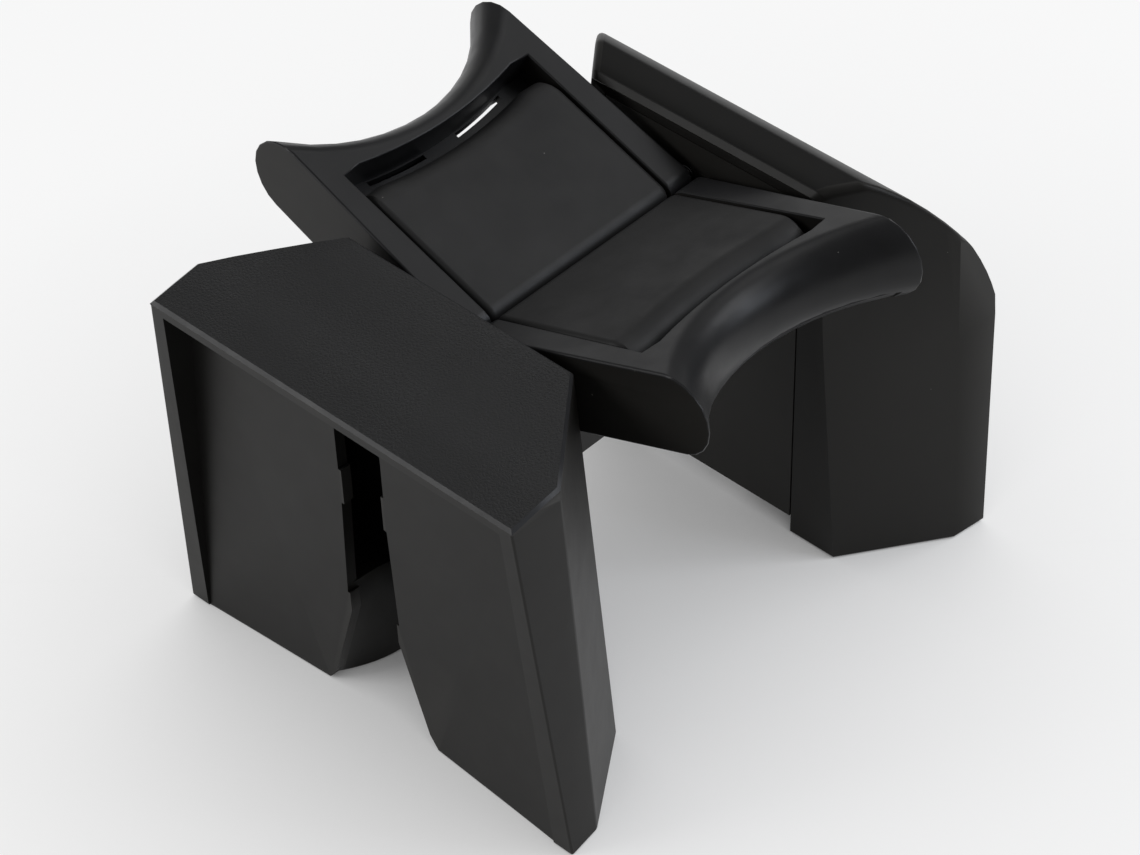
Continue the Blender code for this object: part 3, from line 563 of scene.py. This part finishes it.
@dataclass(frozen=True)
class DrawnSteel:
    """Bare or blackened steel with fine draw marks and a little stain.

    Attributes:
        name: Name of the material.
        colour: Colour of the clean steel.
        stain: Colour of the stain.
        roughness: Roughness of the steel, before the draw marks change it.
    """

    name: str
    colour: Colour
    stain: Colour
    roughness: float

    STAIN_SIZE = 0.003
    STAIN_RANGE = (0.4, 0.7)
    MARK_SIZE = 0.0004
    MARK_DEPTH = 0.000004
    MARK_RANGE = (0.3, 0.7)
    MARK_SMOOTHER = 0.07
    MARK_ROUGHER = 0.1

    def material(self) -> bpy.types.Material:
        """Build the node material.

        Returns:
            The material.
        """
        nodes = NodeTree(self.name)
        nodes.shader.inputs["Metallic"].default_value = 1.0
        stain = nodes.noise(self.STAIN_SIZE, detail=4.0, roughness=0.6)
        tone = nodes.blend(nodes.spread(stain, self.STAIN_RANGE), self.colour, self.stain)
        nodes.link(tone, nodes.shader.inputs["Base Color"])

        marks = nodes.noise(self.MARK_SIZE)
        low = self.roughness - self.MARK_SMOOTHER
        high = self.roughness + self.MARK_ROUGHER
        rough = nodes.spread(marks, self.MARK_RANGE, (low, high))
        nodes.link(rough, nodes.shader.inputs["Roughness"])
        nodes.link(nodes.bump(marks, self.MARK_DEPTH), nodes.shader.inputs["Normal"])
        return nodes.material


GRAINED = MouldedPlastic(
    name="grained_black",
    colour=(0.012, 0.012, 0.0122),
    pale=(0.016, 0.016, 0.0162),
    roughness=0.44,
    roughness_change=0.03,
    skin_size=0.0009,
    skin_depth=0.000004,
    grain_size=0.00065,
    grain_depth=0.00008,
)
PANEL = MouldedPlastic(
    name="panel_black",
    colour=(0.0115, 0.0108, 0.0098),
    pale=(0.0145, 0.0138, 0.0126),
    roughness=0.42,
    roughness_change=0.02,
    skin_size=0.0008,
    skin_depth=0.000002,
    specular=0.18,
)
# Painted shade: the far block's top gets a darker colour and weaker reflections than the near block's top,
# standing in for the lower light that falls on it.
PAINTED_SHADE_ROLL = MouldedPlastic(
    name="rolled_top_black",
    colour=(0.0070, 0.0068, 0.0064),
    pale=(0.0090, 0.0087, 0.0082),
    roughness=0.42,
    roughness_change=0.02,
    skin_size=0.0008,
    skin_depth=0.000002,
    specular=0.13,
)
SATIN = MouldedPlastic(
    name="satin_black",
    colour=(0.010, 0.010, 0.0106),
    pale=(0.014, 0.014, 0.0148),
    roughness=0.36,
    roughness_change=0.05,
    skin_size=0.0006,
    skin_depth=0.000003,
)
MATT = MouldedPlastic(
    name="matt_black",
    colour=(0.012, 0.0119, 0.0122),
    pale=(0.018, 0.0178, 0.0176),
    roughness=0.47,
    roughness_change=0.06,
    skin_size=0.0007,
    skin_depth=0.000007,
    dust_share=0.12,
)
PIN_STEEL = DrawnSteel(
    name="bright_pin_steel",
    colour=(0.56, 0.56, 0.57),
    stain=(0.42, 0.41, 0.40),
    roughness=0.28,
)
WIRE_STEEL = DrawnSteel(
    name="spring_wire_steel",
    colour=(0.07, 0.07, 0.072),
    stain=(0.04, 0.04, 0.04),
    roughness=0.42,
)
DARK_STEEL = DrawnSteel(
    name="blackened_screw_steel",
    colour=(0.06, 0.06, 0.062),
    stain=(0.035, 0.035, 0.034),
    roughness=0.40,
)


def dress(piece: bpy.types.Object, material: bpy.types.Material) -> None:
    """Give every face of a piece one material."""
    piece.data.materials.clear()
    piece.data.materials.append(material)


def refinish(piece: bpy.types.Object, material: bpy.types.Material, wanted: FaceTest) -> None:
    """Give some faces of a dressed piece a further material.

    Args:
        piece: The piece.
        material: The material.
        wanted: Test of a face.
    """
    piece.data.materials.append(material)
    with editing(piece, SelectMode.FACES) as mesh:
        for face in mesh.faces:
            face.select = wanted(face)
        bmesh.update_edit_mesh(piece.data)
        piece.active_material_index = len(piece.data.materials) - 1
        bpy.ops.object.material_slot_assign()


def stand_for(piece: bpy.types.Object, body: Body, node: str) -> None:
    """Let a piece ride on a body in place of a CAD node.

    Args:
        piece: The piece.
        body: The body that it rides on.
        node: Name of the CAD node.
    """
    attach(piece, body.value)
    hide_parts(node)
    LOG.info("%s rides on %s for %s", piece.name, body.value, node)


@dataclass
class Palette:
    """The finished materials, each made once."""

    grained: bpy.types.Material
    panel: bpy.types.Material
    rolled: bpy.types.Material
    satin: bpy.types.Material
    matt: bpy.types.Material
    pin: bpy.types.Material
    wire: bpy.types.Material
    screw: bpy.types.Material

    @classmethod
    def mixed(cls) -> "Palette":
        """Build every finish."""
        finishes = (GRAINED, PANEL, PAINTED_SHADE_ROLL, SATIN, MATT, PIN_STEEL, WIRE_STEEL, DARK_STEEL)
        return cls(*(finish.material() for finish in finishes))


@dataclass
class EndBlock:
    """An end block on its legs, with the wall that closes it towards the wings.

    Places along Y are distances from the model's middle. How far a face looks one way is the part
    of its normal in that direction.

    Attributes:
        end: Which of the two blocks it is.
        palette: The finishes.
        weld: Corners of the shell that are closer than this are merged.
        top_chamfer: Width of the chamfer round the near block's top.
        roll_end_radius: Radius at both ends of the far block's roll.
        roll_end_bottom: Height from which the roll's ends are rounded.
        lip_chamfer: Width of the chamfer along the far block's inner lip.
        lip_radius: Radius along the far block's lips.
        lip_length: Least length of a lip along X.
        corner_radius: Radius of the corners.
        corner_length: Least length of a corner that is rounded.
        foot_height: Height up to which the far block's corners are rounded.
        heart_y: Place along Y of a point inside the block.
        heart_z: Height of that point.
        top_bottom: Height from which a face can belong to the top.
        top_up: How far a face of the top looks up at least.
        top_across: How far a face of the top looks along X at most.
        level_up: How far the near block's grained face looks up at least.
        lean_in: How far a face that looks in does so at least.
        slant_low: How far a chamfer beside the top looks up at least.
        slant_high: How far a chamfer beside the top looks up at most.
        slot_half: Half the width of the slot with its narrow leg walls.
        slot_back: Place along Y of the slot's back.
        slot_top: Height of the slot's upper end.
    """

    end: End
    palette: Palette
    weld: float = 0.00027
    top_chamfer: float = 0.0005
    roll_end_radius: float = 0.0014
    roll_end_bottom: float = 0.062
    lip_chamfer: float = 0.0010
    lip_radius: float = 0.0002
    lip_length: float = 0.036
    corner_radius: float = 0.0004
    corner_length: float = 0.003
    foot_height: float = 0.010
    heart_y: float = 0.041
    heart_z: float = 0.036
    top_bottom: float = 0.045
    top_up: float = 0.2
    top_across: float = 0.05
    level_up: float = 0.75
    lean_in: float = 0.5
    slant_low: float = 0.5
    slant_high: float = 0.9
    slot_half: float = 0.0165
    slot_back: float = 0.034
    slot_top: float = 0.0665

    def build(self) -> None:
        """Make the block's shell and its inner wall."""
        word = self.end.word
        shell = merged_copy(f"{word}_end_block", f"{word}_block_shell", self.weld)
        self.break_edges(shell)
        # The far block's top takes the painted-shade material, and the near block's top takes the grain.
        top = self.palette.rolled if self.end is End.FAR else self.palette.grained
        dress(shell, self.palette.panel)
        refinish(shell, top, self.is_finished_top)
        refinish(shell, self.palette.satin, self.is_chamfer)
        smooth(shell)
        stand_for(shell, Body.BASE, f"{word}_end_block")
        wall = merged_copy(f"{word}_inner_wall", f"{word}_wall_panel")
        dress(wall, self.palette.panel)
        smooth(wall)
        stand_for(wall, Body.BASE, f"{word}_inner_wall")

    def break_edges(self, shell: bpy.types.Object) -> None:
        """Chamfer and round the shell's outer edges.

        Args:
            shell: The shell.
        """
        if self.end is End.FAR:
            round_edges(shell, (Fillet(self.lip_chamfer, self.is_inner_lip),), segments=1)
            lips = Fillet(self.lip_radius, self.is_lip)
            round_edges(shell, (lips, Fillet(self.roll_end_radius, self.is_roll_end)))
        else:
            round_edges(shell, (Fillet(self.top_chamfer, self.is_top_edge),), segments=1)
        corners = Fillet(self.corner_radius, self.is_corner, least_length=self.corner_length)
        round_edges(shell, (corners,))

    def is_top(self, face: bmesh.types.BMFace) -> bool:
        """Whether a face belongs to the block's top, with its roll down the outer side."""
        level = abs(face.normal.x) < self.top_across and face.normal.z > self.top_up
        return level and face.calc_center_median().z > self.top_bottom

    def looks_in(self, face: bmesh.types.BMFace) -> bool:
        """Whether a face looks in towards the wings."""
        return -self.end.value * face.normal.y >= self.lean_in

    def is_slanted(self, face: bmesh.types.BMFace) -> bool:
        """Whether a face looks up as far as a chamfer does."""
        return self.slant_low < face.normal.z < self.slant_high

    def is_finished_top(self, face: bmesh.types.BMFace) -> bool:
        """Whether a face of the top takes the finish of the top."""
        least_up = self.level_up if self.end is End.NEAR else self.top_up
        return self.is_top(face) and not self.looks_in(face) and face.normal.z > least_up

    def is_chamfer(self, face: bmesh.types.BMFace) -> bool:
        """Whether a face is a chamfer beside the top.

        Args:
            face: The face.

        Returns:
            True for any chamfer of the near block, and for the inner lip's on the far one.
        """
        if not self.is_slanted(face) or (self.end is End.FAR and not self.looks_in(face)):
            return False
        return any(self.is_finished_top(other) for edge in face.edges for other in edge.link_faces)

    def is_outer(self, edge: bmesh.types.BMEdge) -> bool:
        """Whether an edge lies on the outside of the block, clear of the slot and its walls.

        Args:
            edge: The edge.

        Returns:
            True for an outer edge.
        """
        middle = middle_of(edge)
        beside = abs(middle.x) > self.slot_half or abs(middle.y) < self.slot_back
        heart = Vector((0.0, self.end.value * self.heart_y, self.heart_z))
        return (beside or middle.z > self.slot_top) and faces_out(edge, heart)

    def is_corner(self, edge: bmesh.types.BMEdge) -> bool:
        """Whether an outer edge away from the chamfers is a corner.

        Args:
            edge: The edge.

        Returns:
            True for any corner of the near block, and for those at the feet of the far one.
        """
        if self.end is End.FAR and middle_of(edge).z > self.foot_height:
            return False
        return self.is_outer(edge) and not any(map(self.is_slanted, edge.link_faces))

    def is_top_edge(self, edge: bmesh.types.BMEdge) -> bool:
        """Whether an edge bounds the block's top."""
        tops = [self.is_top(face) for face in edge.link_faces]
        return any(tops) and not all(tops) and self.is_outer(edge)

    def is_roll_end(self, edge: bmesh.types.BMEdge) -> bool:
        """Whether an edge bounds the upper part of the roll at one of its ends."""
        return self.is_top_edge(edge) and middle_of(edge).z > self.roll_end_bottom

    def is_lip(self, edge: bmesh.types.BMEdge) -> bool:
        """Whether an edge of the top runs along X, at the inner side or at the outer lip."""
        along_x = abs(edge.verts[0].co.x - edge.verts[1].co.x) > self.lip_length
        return along_x and any(map(self.is_top, edge.link_faces)) and self.is_outer(edge)

    def is_inner_lip(self, edge: bmesh.types.BMEdge) -> bool:
        """Whether an edge of the top runs along X at the inner side."""
        return self.is_lip(edge) and abs(middle_of(edge).y) < self.heart_y


@dataclass
class Bridge:
    """The beam between the blocks.

    Attributes:
        palette: The finishes.
        corner_radius: Radius of the outer corners.
        corner_length: Least length of a corner that is rounded.
        heart: A point inside the channel, which the outer faces look away from.
    """

    palette: Palette
    corner_radius: float = 0.0004
    corner_length: float = 0.003
    heart: Vector = Vector((0.0, 0.001, 0.0545))

    def build(self) -> None:
        """Make the channel-shaped beam."""
        beam = merged_copy("bridge_beam", "bridge_channel")
        outer = Fillet(self.corner_radius, self.is_outer, least_length=self.corner_length)
        round_edges(beam, (outer,))
        dress(beam, self.palette.panel)
        smooth(beam)
        stand_for(beam, Body.BASE, "bridge_beam")

    def is_outer(self, edge: bmesh.types.BMEdge) -> bool:
        """Whether an edge lies on the outside of the channel."""
        return faces_out(edge, self.heart)


@dataclass(frozen=True)
class Hinge:
    """Where a wing's hinge axis runs, and how far the wing leans at rest.

    Attributes:
        axis_x: Distance of the axis from the model's middle.
        axis_z: Height of the axis.
        tilt: Slope of the wing's top at rest.
    """

    axis_x: float = 0.00265
    axis_z: float = 0.064697
    tilt: float = radians(19.8)


HINGE = Hinge()


@dataclass
class Wing:
    """A wing: its frame with the concave rim, its inset pad and the cover under it.

    Attributes:
        side: Which of the two wings it is.
        palette: The finishes.
        strip_height: Height over the hinge axis from which an edge belongs to the wing's top.
        strip_radius: Radius of the top's edges.
        strip_angle: Edges of the top with a smaller turn stay as they are.
        strip_segments: Facets across each rounding.
        end_facing: How far a face at the wing's ends looks along Y at least.
    """

    side: Side
    palette: Palette
    strip_height: float = 0.0019
    strip_radius: float = 0.0003
    strip_angle: float = radians(45)
    strip_segments: int = 3
    end_facing: float = 0.97

    def build(self) -> None:
        """Make the three mouldings of the wing."""
        word = self.side.word
        moulding = merged_copy(f"{word}_wing_frame", f"{word}_wing_moulding")
        strips = Fillet(self.strip_radius, self.is_upper, least_angle=self.strip_angle)
        round_edges(moulding, (strips,), self.strip_segments)
        pad = merged_copy(f"{word}_wing_pad", f"{word}_pad_cap")
        cover = merged_copy(f"{word}_wing_base", f"{word}_base_cover")
        dress(moulding, self.palette.satin)
        refinish(moulding, self.palette.panel, self.is_end)
        dress(pad, self.palette.matt)
        dress(cover, self.palette.satin)
        for piece, slot, node in (
            (moulding, Slot.WING, "wing_frame"),
            (pad, Slot.PAD, "wing_pad"),
            (cover, Slot.WING, "wing_base"),
        ):
            smooth(piece)
            stand_for(piece, self.side.body, f"{word}_{node}")

    def is_end(self, face: bmesh.types.BMFace) -> bool:
        """Whether a face closes an end of the wing."""
        return abs(face.normal.y) > self.end_facing

    def height(self, point: Vector) -> float:
        """Height of a point over the hinge axis, square to the wing's top."""
        lift = Vector((-self.side.value * sin(HINGE.tilt), 0.0, cos(HINGE.tilt)))
        return (point - Vector((self.side.value * HINGE.axis_x, 0.0, HINGE.axis_z))).dot(lift)

    def is_upper(self, edge: bmesh.types.BMEdge) -> bool:
        """Whether an edge lies in the wing's top, where the strips and the rim meet the pocket."""
        return all(self.height(vert.co) > self.strip_height for vert in edge.verts)


@dataclass
class TorsionSpring:
    """A torsion spring round one end of a hinge pin, with legs into the wing and the wall.

    Places along Y are distances from the wing's middle.

    Attributes:
        side: Which wing it presses.
        end: Which end of the wing it is at.
        palette: The finishes.
        radius: Radius of the coil, at the middle of the wire.
        wire: Diameter of the wire.
        turns: Turns of the coil.
        leg: Distance of the wing's hook from the hinge axis.
        anchor: Length of the leg that ends in the wall.
        wing_hook: Place along Y of the hook's tip in the wing.
        wing_y: Place along Y of the coil's end at the wing.
        wall_y: Place along Y of the coil's end at the wall.
        wall_hook: Place along Y of the hook's tip in the wall.
        steps_per_turn: Points of the wire in a turn.
        wire_resolution: How finely the wire is rounded.
    """

    side: Side
    end: End
    palette: Palette
    radius: float = 0.00145
    wire: float = 0.0004
    turns: float = 2.3
    leg: float = 0.0090
    anchor: float = 0.0050
    wing_hook: float = 0.0233
    wing_y: float = 0.0251
    wall_y: float = 0.02709
    wall_hook: float = 0.0289
    steps_per_turn: int = 28
    wire_resolution: int = 3

    def build(self) -> None:
        """Bend the wire as a curve and turn it into a mesh."""
        node = f"{self.side.word}_{self.end.word}_spring"
        bpy.ops.object.select_all(action="DESELECT")
        bpy.ops.curve.primitive_bezier_curve_add(location=(0.0, 0.0, 0.0))
        piece = bpy.context.object
        piece.name = f"{node}_wire"
        curve = piece.data
        curve.splines.clear()
        route = self.route()
        spline = curve.splines.new("POLY")
        spline.points.add(len(route) - 1)
        for point, place in zip(spline.points, route):
            point.co = (*place, 1.0)
        curve.bevel_depth = self.wire / 2
        curve.bevel_resolution = self.wire_resolution
        curve.use_fill_caps = True
        bpy.ops.object.convert(target="MESH")
        with editing(piece, SelectMode.VERTICES):
            bpy.ops.mesh.select_all(action="SELECT")
            bpy.ops.mesh.remove_doubles(threshold=MERGE_DISTANCE)
        dress(piece, self.palette.wire)
        smooth(piece)
        self.wind(piece)
        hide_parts(node)
        LOG.info("%s winds up with %s for %s", piece.name, self.side.body.value, node)

    def wind(self, piece: bpy.types.Object) -> None:
        """Let the coil wind up as the wing turns, with one leg held in the wall.

        Args:
            piece: The wire.
        """
        still = self.on_axis(self.wall_y - self.wire / 2)
        turned = self.on_axis(self.wing_y + self.wire / 2)
        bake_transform(piece, Body.BASE.value, self.side.body.value, start=still, end=turned)

    def on_axis(self, y: float) -> Vector:
        """The point of the hinge axis that lies y from the wing's middle, towards this end."""
        return self.mirrored(HINGE.axis_x, y, HINGE.axis_z)

    def mirrored(self, x: float, y: float, z: float) -> Vector:
        """A point of the far right spring, moved to this side and end."""
        return Vector((self.side.value * x, MIDDLE_Y + self.end.value * y, z))

    def route(self) -> list[Vector]:
        """Lead the wire from its hook in the wing to its hook in the wall.

        Returns:
            Points along the wire's middle.
        """
        start = HINGE.tilt + acos(self.radius / self.leg)
        finish = start + self.turns * tau
        leg_x = HINGE.axis_x + self.leg * cos(HINGE.tilt)
        leg_z = HINGE.axis_z + self.leg * sin(HINGE.tilt)
        anchor_x = HINGE.axis_x + self.radius * cos(finish) - self.anchor * sin(finish)
        anchor_z = HINGE.axis_z + self.radius * sin(finish) + self.anchor * cos(finish)
        places = [(leg_x, self.wing_hook, leg_z), (leg_x, self.wing_y, leg_z)]
        steps = round(self.turns * self.steps_per_turn)
        for step in range(steps + 1):
            angle = start + (finish - start) * step / steps
            y = self.wing_y + (self.wall_y - self.wing_y) * step / steps
            x = HINGE.axis_x + self.radius * cos(angle)
            z = HINGE.axis_z + self.radius * sin(angle)
            places.append((x, y, z))
        places += [(anchor_x, self.wall_y, anchor_z), (anchor_x, self.wall_hook, anchor_z)]
        return [self.mirrored(*place) for place in places]


@dataclass
class HingePin:
    """A steel pin with rounded ends.

    Attributes:
        side: Which wing turns on it.
        palette: The finishes.
        end_radius: Radius at its ends.
        end_segments: Facets across each rounding.
    """

    side: Side
    palette: Palette
    end_radius: float = 0.0003
    end_segments: int = 3

    def build(self) -> None:
        """Round the ends of the pin."""
        node = f"{self.side.word}_hinge_pin"
        pin = merged_copy(node, f"{node}_rod")
        ends = Fillet(self.end_radius, lambda edge: True, least_length=0.0)
        round_edges(pin, (ends,), self.end_segments)
        dress(pin, self.palette.pin)
        smooth(pin)
        stand_for(pin, Body.BASE, node)


@dataclass
class PanHeadScrew:
    """A pan-head screw with a cross recess, cut from the plain screw of a node.

    Attributes:
        node: Name of the CAD node.
        body: The body that it rides on.
        palette: The finishes.
        least_sides: Least number of corners of the head's end.
        least_round: How far out its nearest corner lies at least, as a share of its farthest.
        crown: Radius of the head's edge, as a share of the head's radius.
        crown_depth: Edges that lie deeper than this below the head's end stay as they are.
        crown_segments: Facets across the rounding.
        arm: Reach of the cross, as a share of the head's radius.
        arm_width: Width of an arm, as a share of the head's radius.
        depth: Depth of the cross, as a share of the head's radius.
    """

    node: str
    body: Body
    palette: Palette
    least_sides: int = 16
    least_round: float = 0.95
    crown: float = 0.12
    crown_depth: float = 0.0006
    crown_segments: int = 3
    arm: float = 0.72
    arm_width: float = 0.30
    depth: float = 0.55

    def build(self) -> None:
        """Round the head's edge and sink the cross into it."""
        screw = merged_copy(self.node, f"{self.node}_cross_head")
        with editing(screw, SelectMode.FACES) as mesh:
            head = max(filter(self.is_disc, mesh.faces), key=lambda face: face.calc_area())
            middle = head.calc_center_median()
            outward = head.normal.copy()
            radius = (head.verts[0].co - middle).length
        rim = Fillet(
            self.crown * radius,
            lambda edge: (middle_of(edge) - middle).dot(outward) > -self.crown_depth,
            least_length=0.0,
        )
        round_edges(screw, (rim,), self.crown_segments)
        for turn in (0.0, pi / 2):
            self.cut_arm(screw, middle, outward, radius, turn)
        dress(screw, self.palette.screw)
        smooth(screw)
        stand_for(screw, self.body, self.node)

    def is_disc(self, face: bmesh.types.BMFace) -> bool:
        """Whether a face is a whole disc, as at the head's end and the tip, and not a ring.

        Args:
            face: The face.

        Returns:
            True for a disc.
        """
        middle = face.calc_center_median()
        reaches = [(vert.co - middle).length for vert in face.verts]
        return len(reaches) >= self.least_sides and min(reaches) > self.least_round * max(reaches)

    def cut_arm(
        self, screw: bpy.types.Object, middle: Vector, outward: Vector, radius: float, turn: float
    ) -> None:
        """Cut one arm of the cross with a bar.

        Args:
            screw: The screw.
            middle: Middle of its head's end.
            outward: Direction out of the head.
            radius: Radius of the head's flat end.
            turn: Angle of the arm about the screw's axis.
        """
        bpy.ops.object.select_all(action="DESELECT")
        bpy.ops.mesh.primitive_cube_add(size=2.0)
        bar = bpy.context.object
        halves = radius * Vector((self.arm, self.arm_width / 2, self.depth))
        facing = outward.to_track_quat("Z", "Y").to_matrix().to_4x4()
        turned = facing @ Matrix.Rotation(turn, 4, "Z")
        bar.matrix_world = Matrix.Translation(middle) @ turned @ Matrix.Diagonal((*halves, 1.0))
        apply_modifier(screw, "BOOLEAN", operation="DIFFERENCE", solver="EXACT", object=bar)
        bpy.data.objects.remove(bar)


@dataclass(frozen=True)
class SoftBox:
    """A soft studio lamp, placed by its direction from the part.

    Attributes:
        name: Name of the lamp.
        azimuth: Degrees round the part, from the near block's side anticlockwise.
        elevation: Degrees above the horizon.
        size: Side of the lamp's square.
        power: Power in watts.
        colour: Colour of the light.
        distance: Distance from the part.
    """

    name: str
    azimuth: float
    elevation: float
    size: float
    power: float
    colour: Colour = (1.0, 1.0, 1.0)
    distance: float = 0.9

    def place(self, target: Vector) -> None:
        """Add the lamp.

        Args:
            target: The point that it faces.
        """
        turn = radians(self.azimuth)
        rise = radians(self.elevation)
        towards = Vector((sin(turn) * cos(rise), -cos(turn) * cos(rise), sin(rise)))
        data = bpy.data.lights.new(self.name, "AREA")
        data.shape = "SQUARE"
        data.size = self.size
        data.energy = self.power
        data.color = self.colour
        lamp = bpy.data.objects.new(self.name, data)
        bpy.context.scene.collection.objects.link(lamp)
        lamp.location = target + towards * self.distance
        lamp.rotation_euler = (-towards).to_track_quat("-Z", "Y").to_euler()


@dataclass
class Studio:
    """Pale floor, soft light and the camera at the photograph's angle.

    Attributes:
        target: The point that the lamps face.
        camera_place: Place of the camera.
        camera_right: Direction to the right in the picture.
        camera_up: Direction up in the picture.
        lens: Focal length in millimetres.
        sensor: Width of the sensor in millimetres.
        clip_start: Distance from which the camera sees.
        floor_size: Side of the floor's square.
        floor_gap: Gap between the floor and the feet.
        floor_colour: Colour of the floor.
        floor_glow: Share of white in what the camera and reflections see of the floor.
        floor_shade_reach: Distance that the part's shade on the floor's white reaches.
        sky: Colour of the even light.
        sky_strength: Strength of the even light.
        lamps: The lamps.
    """

    target: Vector = Vector((0.0, 0.0, 0.045))
    camera_place: Vector = Vector((0.33443, -0.34880, 0.47191))
    camera_right: Vector = Vector((0.73080, 0.68232, -0.01934))
    camera_up: Vector = Vector((-0.45017, 0.50306, 0.73776))
    lens: float = 127.28
    sensor: float = 36.0
    clip_start: float = 0.01
    floor_size: float = 40.0
    floor_gap: float = 0.0002
    floor_colour: Colour = (0.90, 0.90, 0.90)
    floor_glow: float = 0.85
    floor_shade_reach: float = 0.12
    sky: Colour = (1.0, 1.0, 1.0)
    sky_strength: float = 0.20
    lamps: Sequence[SoftBox] = (
        SoftBox("front_left_box", azimuth=-34.0, elevation=22.0, size=0.40, power=2.2),
        SoftBox(
            "right_window",
            azimuth=128.0,
            elevation=30.0,
            size=0.36,
            power=1.5,
            colour=(0.86, 0.91, 1.0),
        ),
        SoftBox(
            "back_window",
            azimuth=152.0,
            elevation=42.0,
            size=0.40,
            power=1.6,
            colour=(0.94, 0.96, 1.0),
        ),
        SoftBox("overhead_box", azimuth=176.0, elevation=60.0, size=0.60, power=0.8),
        SoftBox("low_left_box", azimuth=-122.0, elevation=13.0, size=0.45, power=0.34),
        SoftBox("high_left_box", azimuth=-140.0, elevation=56.0, size=0.40, power=0.4),
    )

    def build(self) -> None:
        """Set the whole stage."""
        bpy.context.scene.view_settings.view_transform = "Standard"
        self.lay_floor()
        self.light_world()
        for lamp in self.lamps:
            lamp.place(self.target)
        self.set_camera()

    def lay_floor(self) -> None:
        """Lay the pale floor under the part's feet."""
        bpy.ops.object.select_all(action="DESELECT")
        level = CAD_BOX[0][2] - self.floor_gap
        bpy.ops.mesh.primitive_plane_add(size=self.floor_size, location=(0.0, 0.0, level))
        floor = bpy.context.object
        floor.name = "studio_floor"
        floor.data.materials.append(self.floor_material())

    def floor_material(self) -> bpy.types.Material:
        """Build a matt material that shows white in view and in reflections, except in shade.

        Returns:
            The material.
        """
        nodes = NodeTree("pale_floor")
        nodes.tree.nodes.remove(nodes.shader)
        matt = nodes.add("ShaderNodeBsdfDiffuse")
        matt.inputs["Color"].default_value = (*self.floor_colour, 1.0)
        glow = nodes.add("ShaderNodeEmission")
        shade = nodes.add("ShaderNodeAmbientOcclusion")
        shade.inputs["Distance"].default_value = self.floor_shade_reach
        rays = nodes.add("ShaderNodeLightPath").outputs
        seen = nodes.maths("MAXIMUM", rays["Is Camera Ray"], rays["Is Glossy Ray"])
        seen = nodes.maths("MAXIMUM", seen, rays["Is Transmission Ray"])
        white = nodes.maths("MULTIPLY", shade.outputs["AO"], self.floor_glow)
        mix = nodes.add("ShaderNodeMixShader")
        nodes.link(nodes.maths("MULTIPLY", seen, white), mix.inputs["Fac"])
        nodes.link(matt.outputs["BSDF"], mix.inputs[1])
        nodes.link(glow.outputs["Emission"], mix.inputs[2])
        nodes.link(mix.outputs["Shader"], nodes.output.inputs["Surface"])
        return nodes.material

    def light_world(self) -> None:
        """Fill the scene with a little even light."""
        world = bpy.data.worlds.new("studio_world")
        bpy.context.scene.world = world
        world.use_nodes = True
        light = world.node_tree.nodes["Background"]
        light.inputs["Color"].default_value = (*self.sky, 1.0)
        light.inputs["Strength"].default_value = self.sky_strength

    def set_camera(self) -> None:
        """Put the camera where the photograph was taken from."""
        data = bpy.data.cameras.new("photo_camera")
        data.lens = self.lens
        data.sensor_width = self.sensor
        data.sensor_fit = "HORIZONTAL"
        data.clip_start = self.clip_start
        camera = bpy.data.objects.new("photo_camera", data)
        bpy.context.scene.collection.objects.link(camera)
        right = self.camera_right.normalized()
        back = right.cross(self.camera_up).normalized()
        up = back.cross(right)
        turn = Matrix((right, up, back)).transposed().to_4x4()
        camera.matrix_world = Matrix.Translation(self.camera_place) @ turn
        bpy.context.scene.camera = camera


def main() -> None:
    """Build the pieces and the studio in order."""
    logging.basicConfig(level=logging.INFO, format="%(name)s: %(message)s")
    palette = Palette.mixed()
    for end in End:
        EndBlock(end, palette).build()
    Bridge(palette).build()
    for side in Side:
        Wing(side, palette).build()
        HingePin(side, palette).build()
        for end in End:
            TorsionSpring(side, end, palette).build()
            PanHeadScrew(f"{side.word}_{end.word}_base_screw", side.body, palette).build()
            PanHeadScrew(f"{end.word}_{side.word}_bridge_screw", Body.BASE, palette).build()
    Studio().build()


if __name__ == "__main__":
    main()
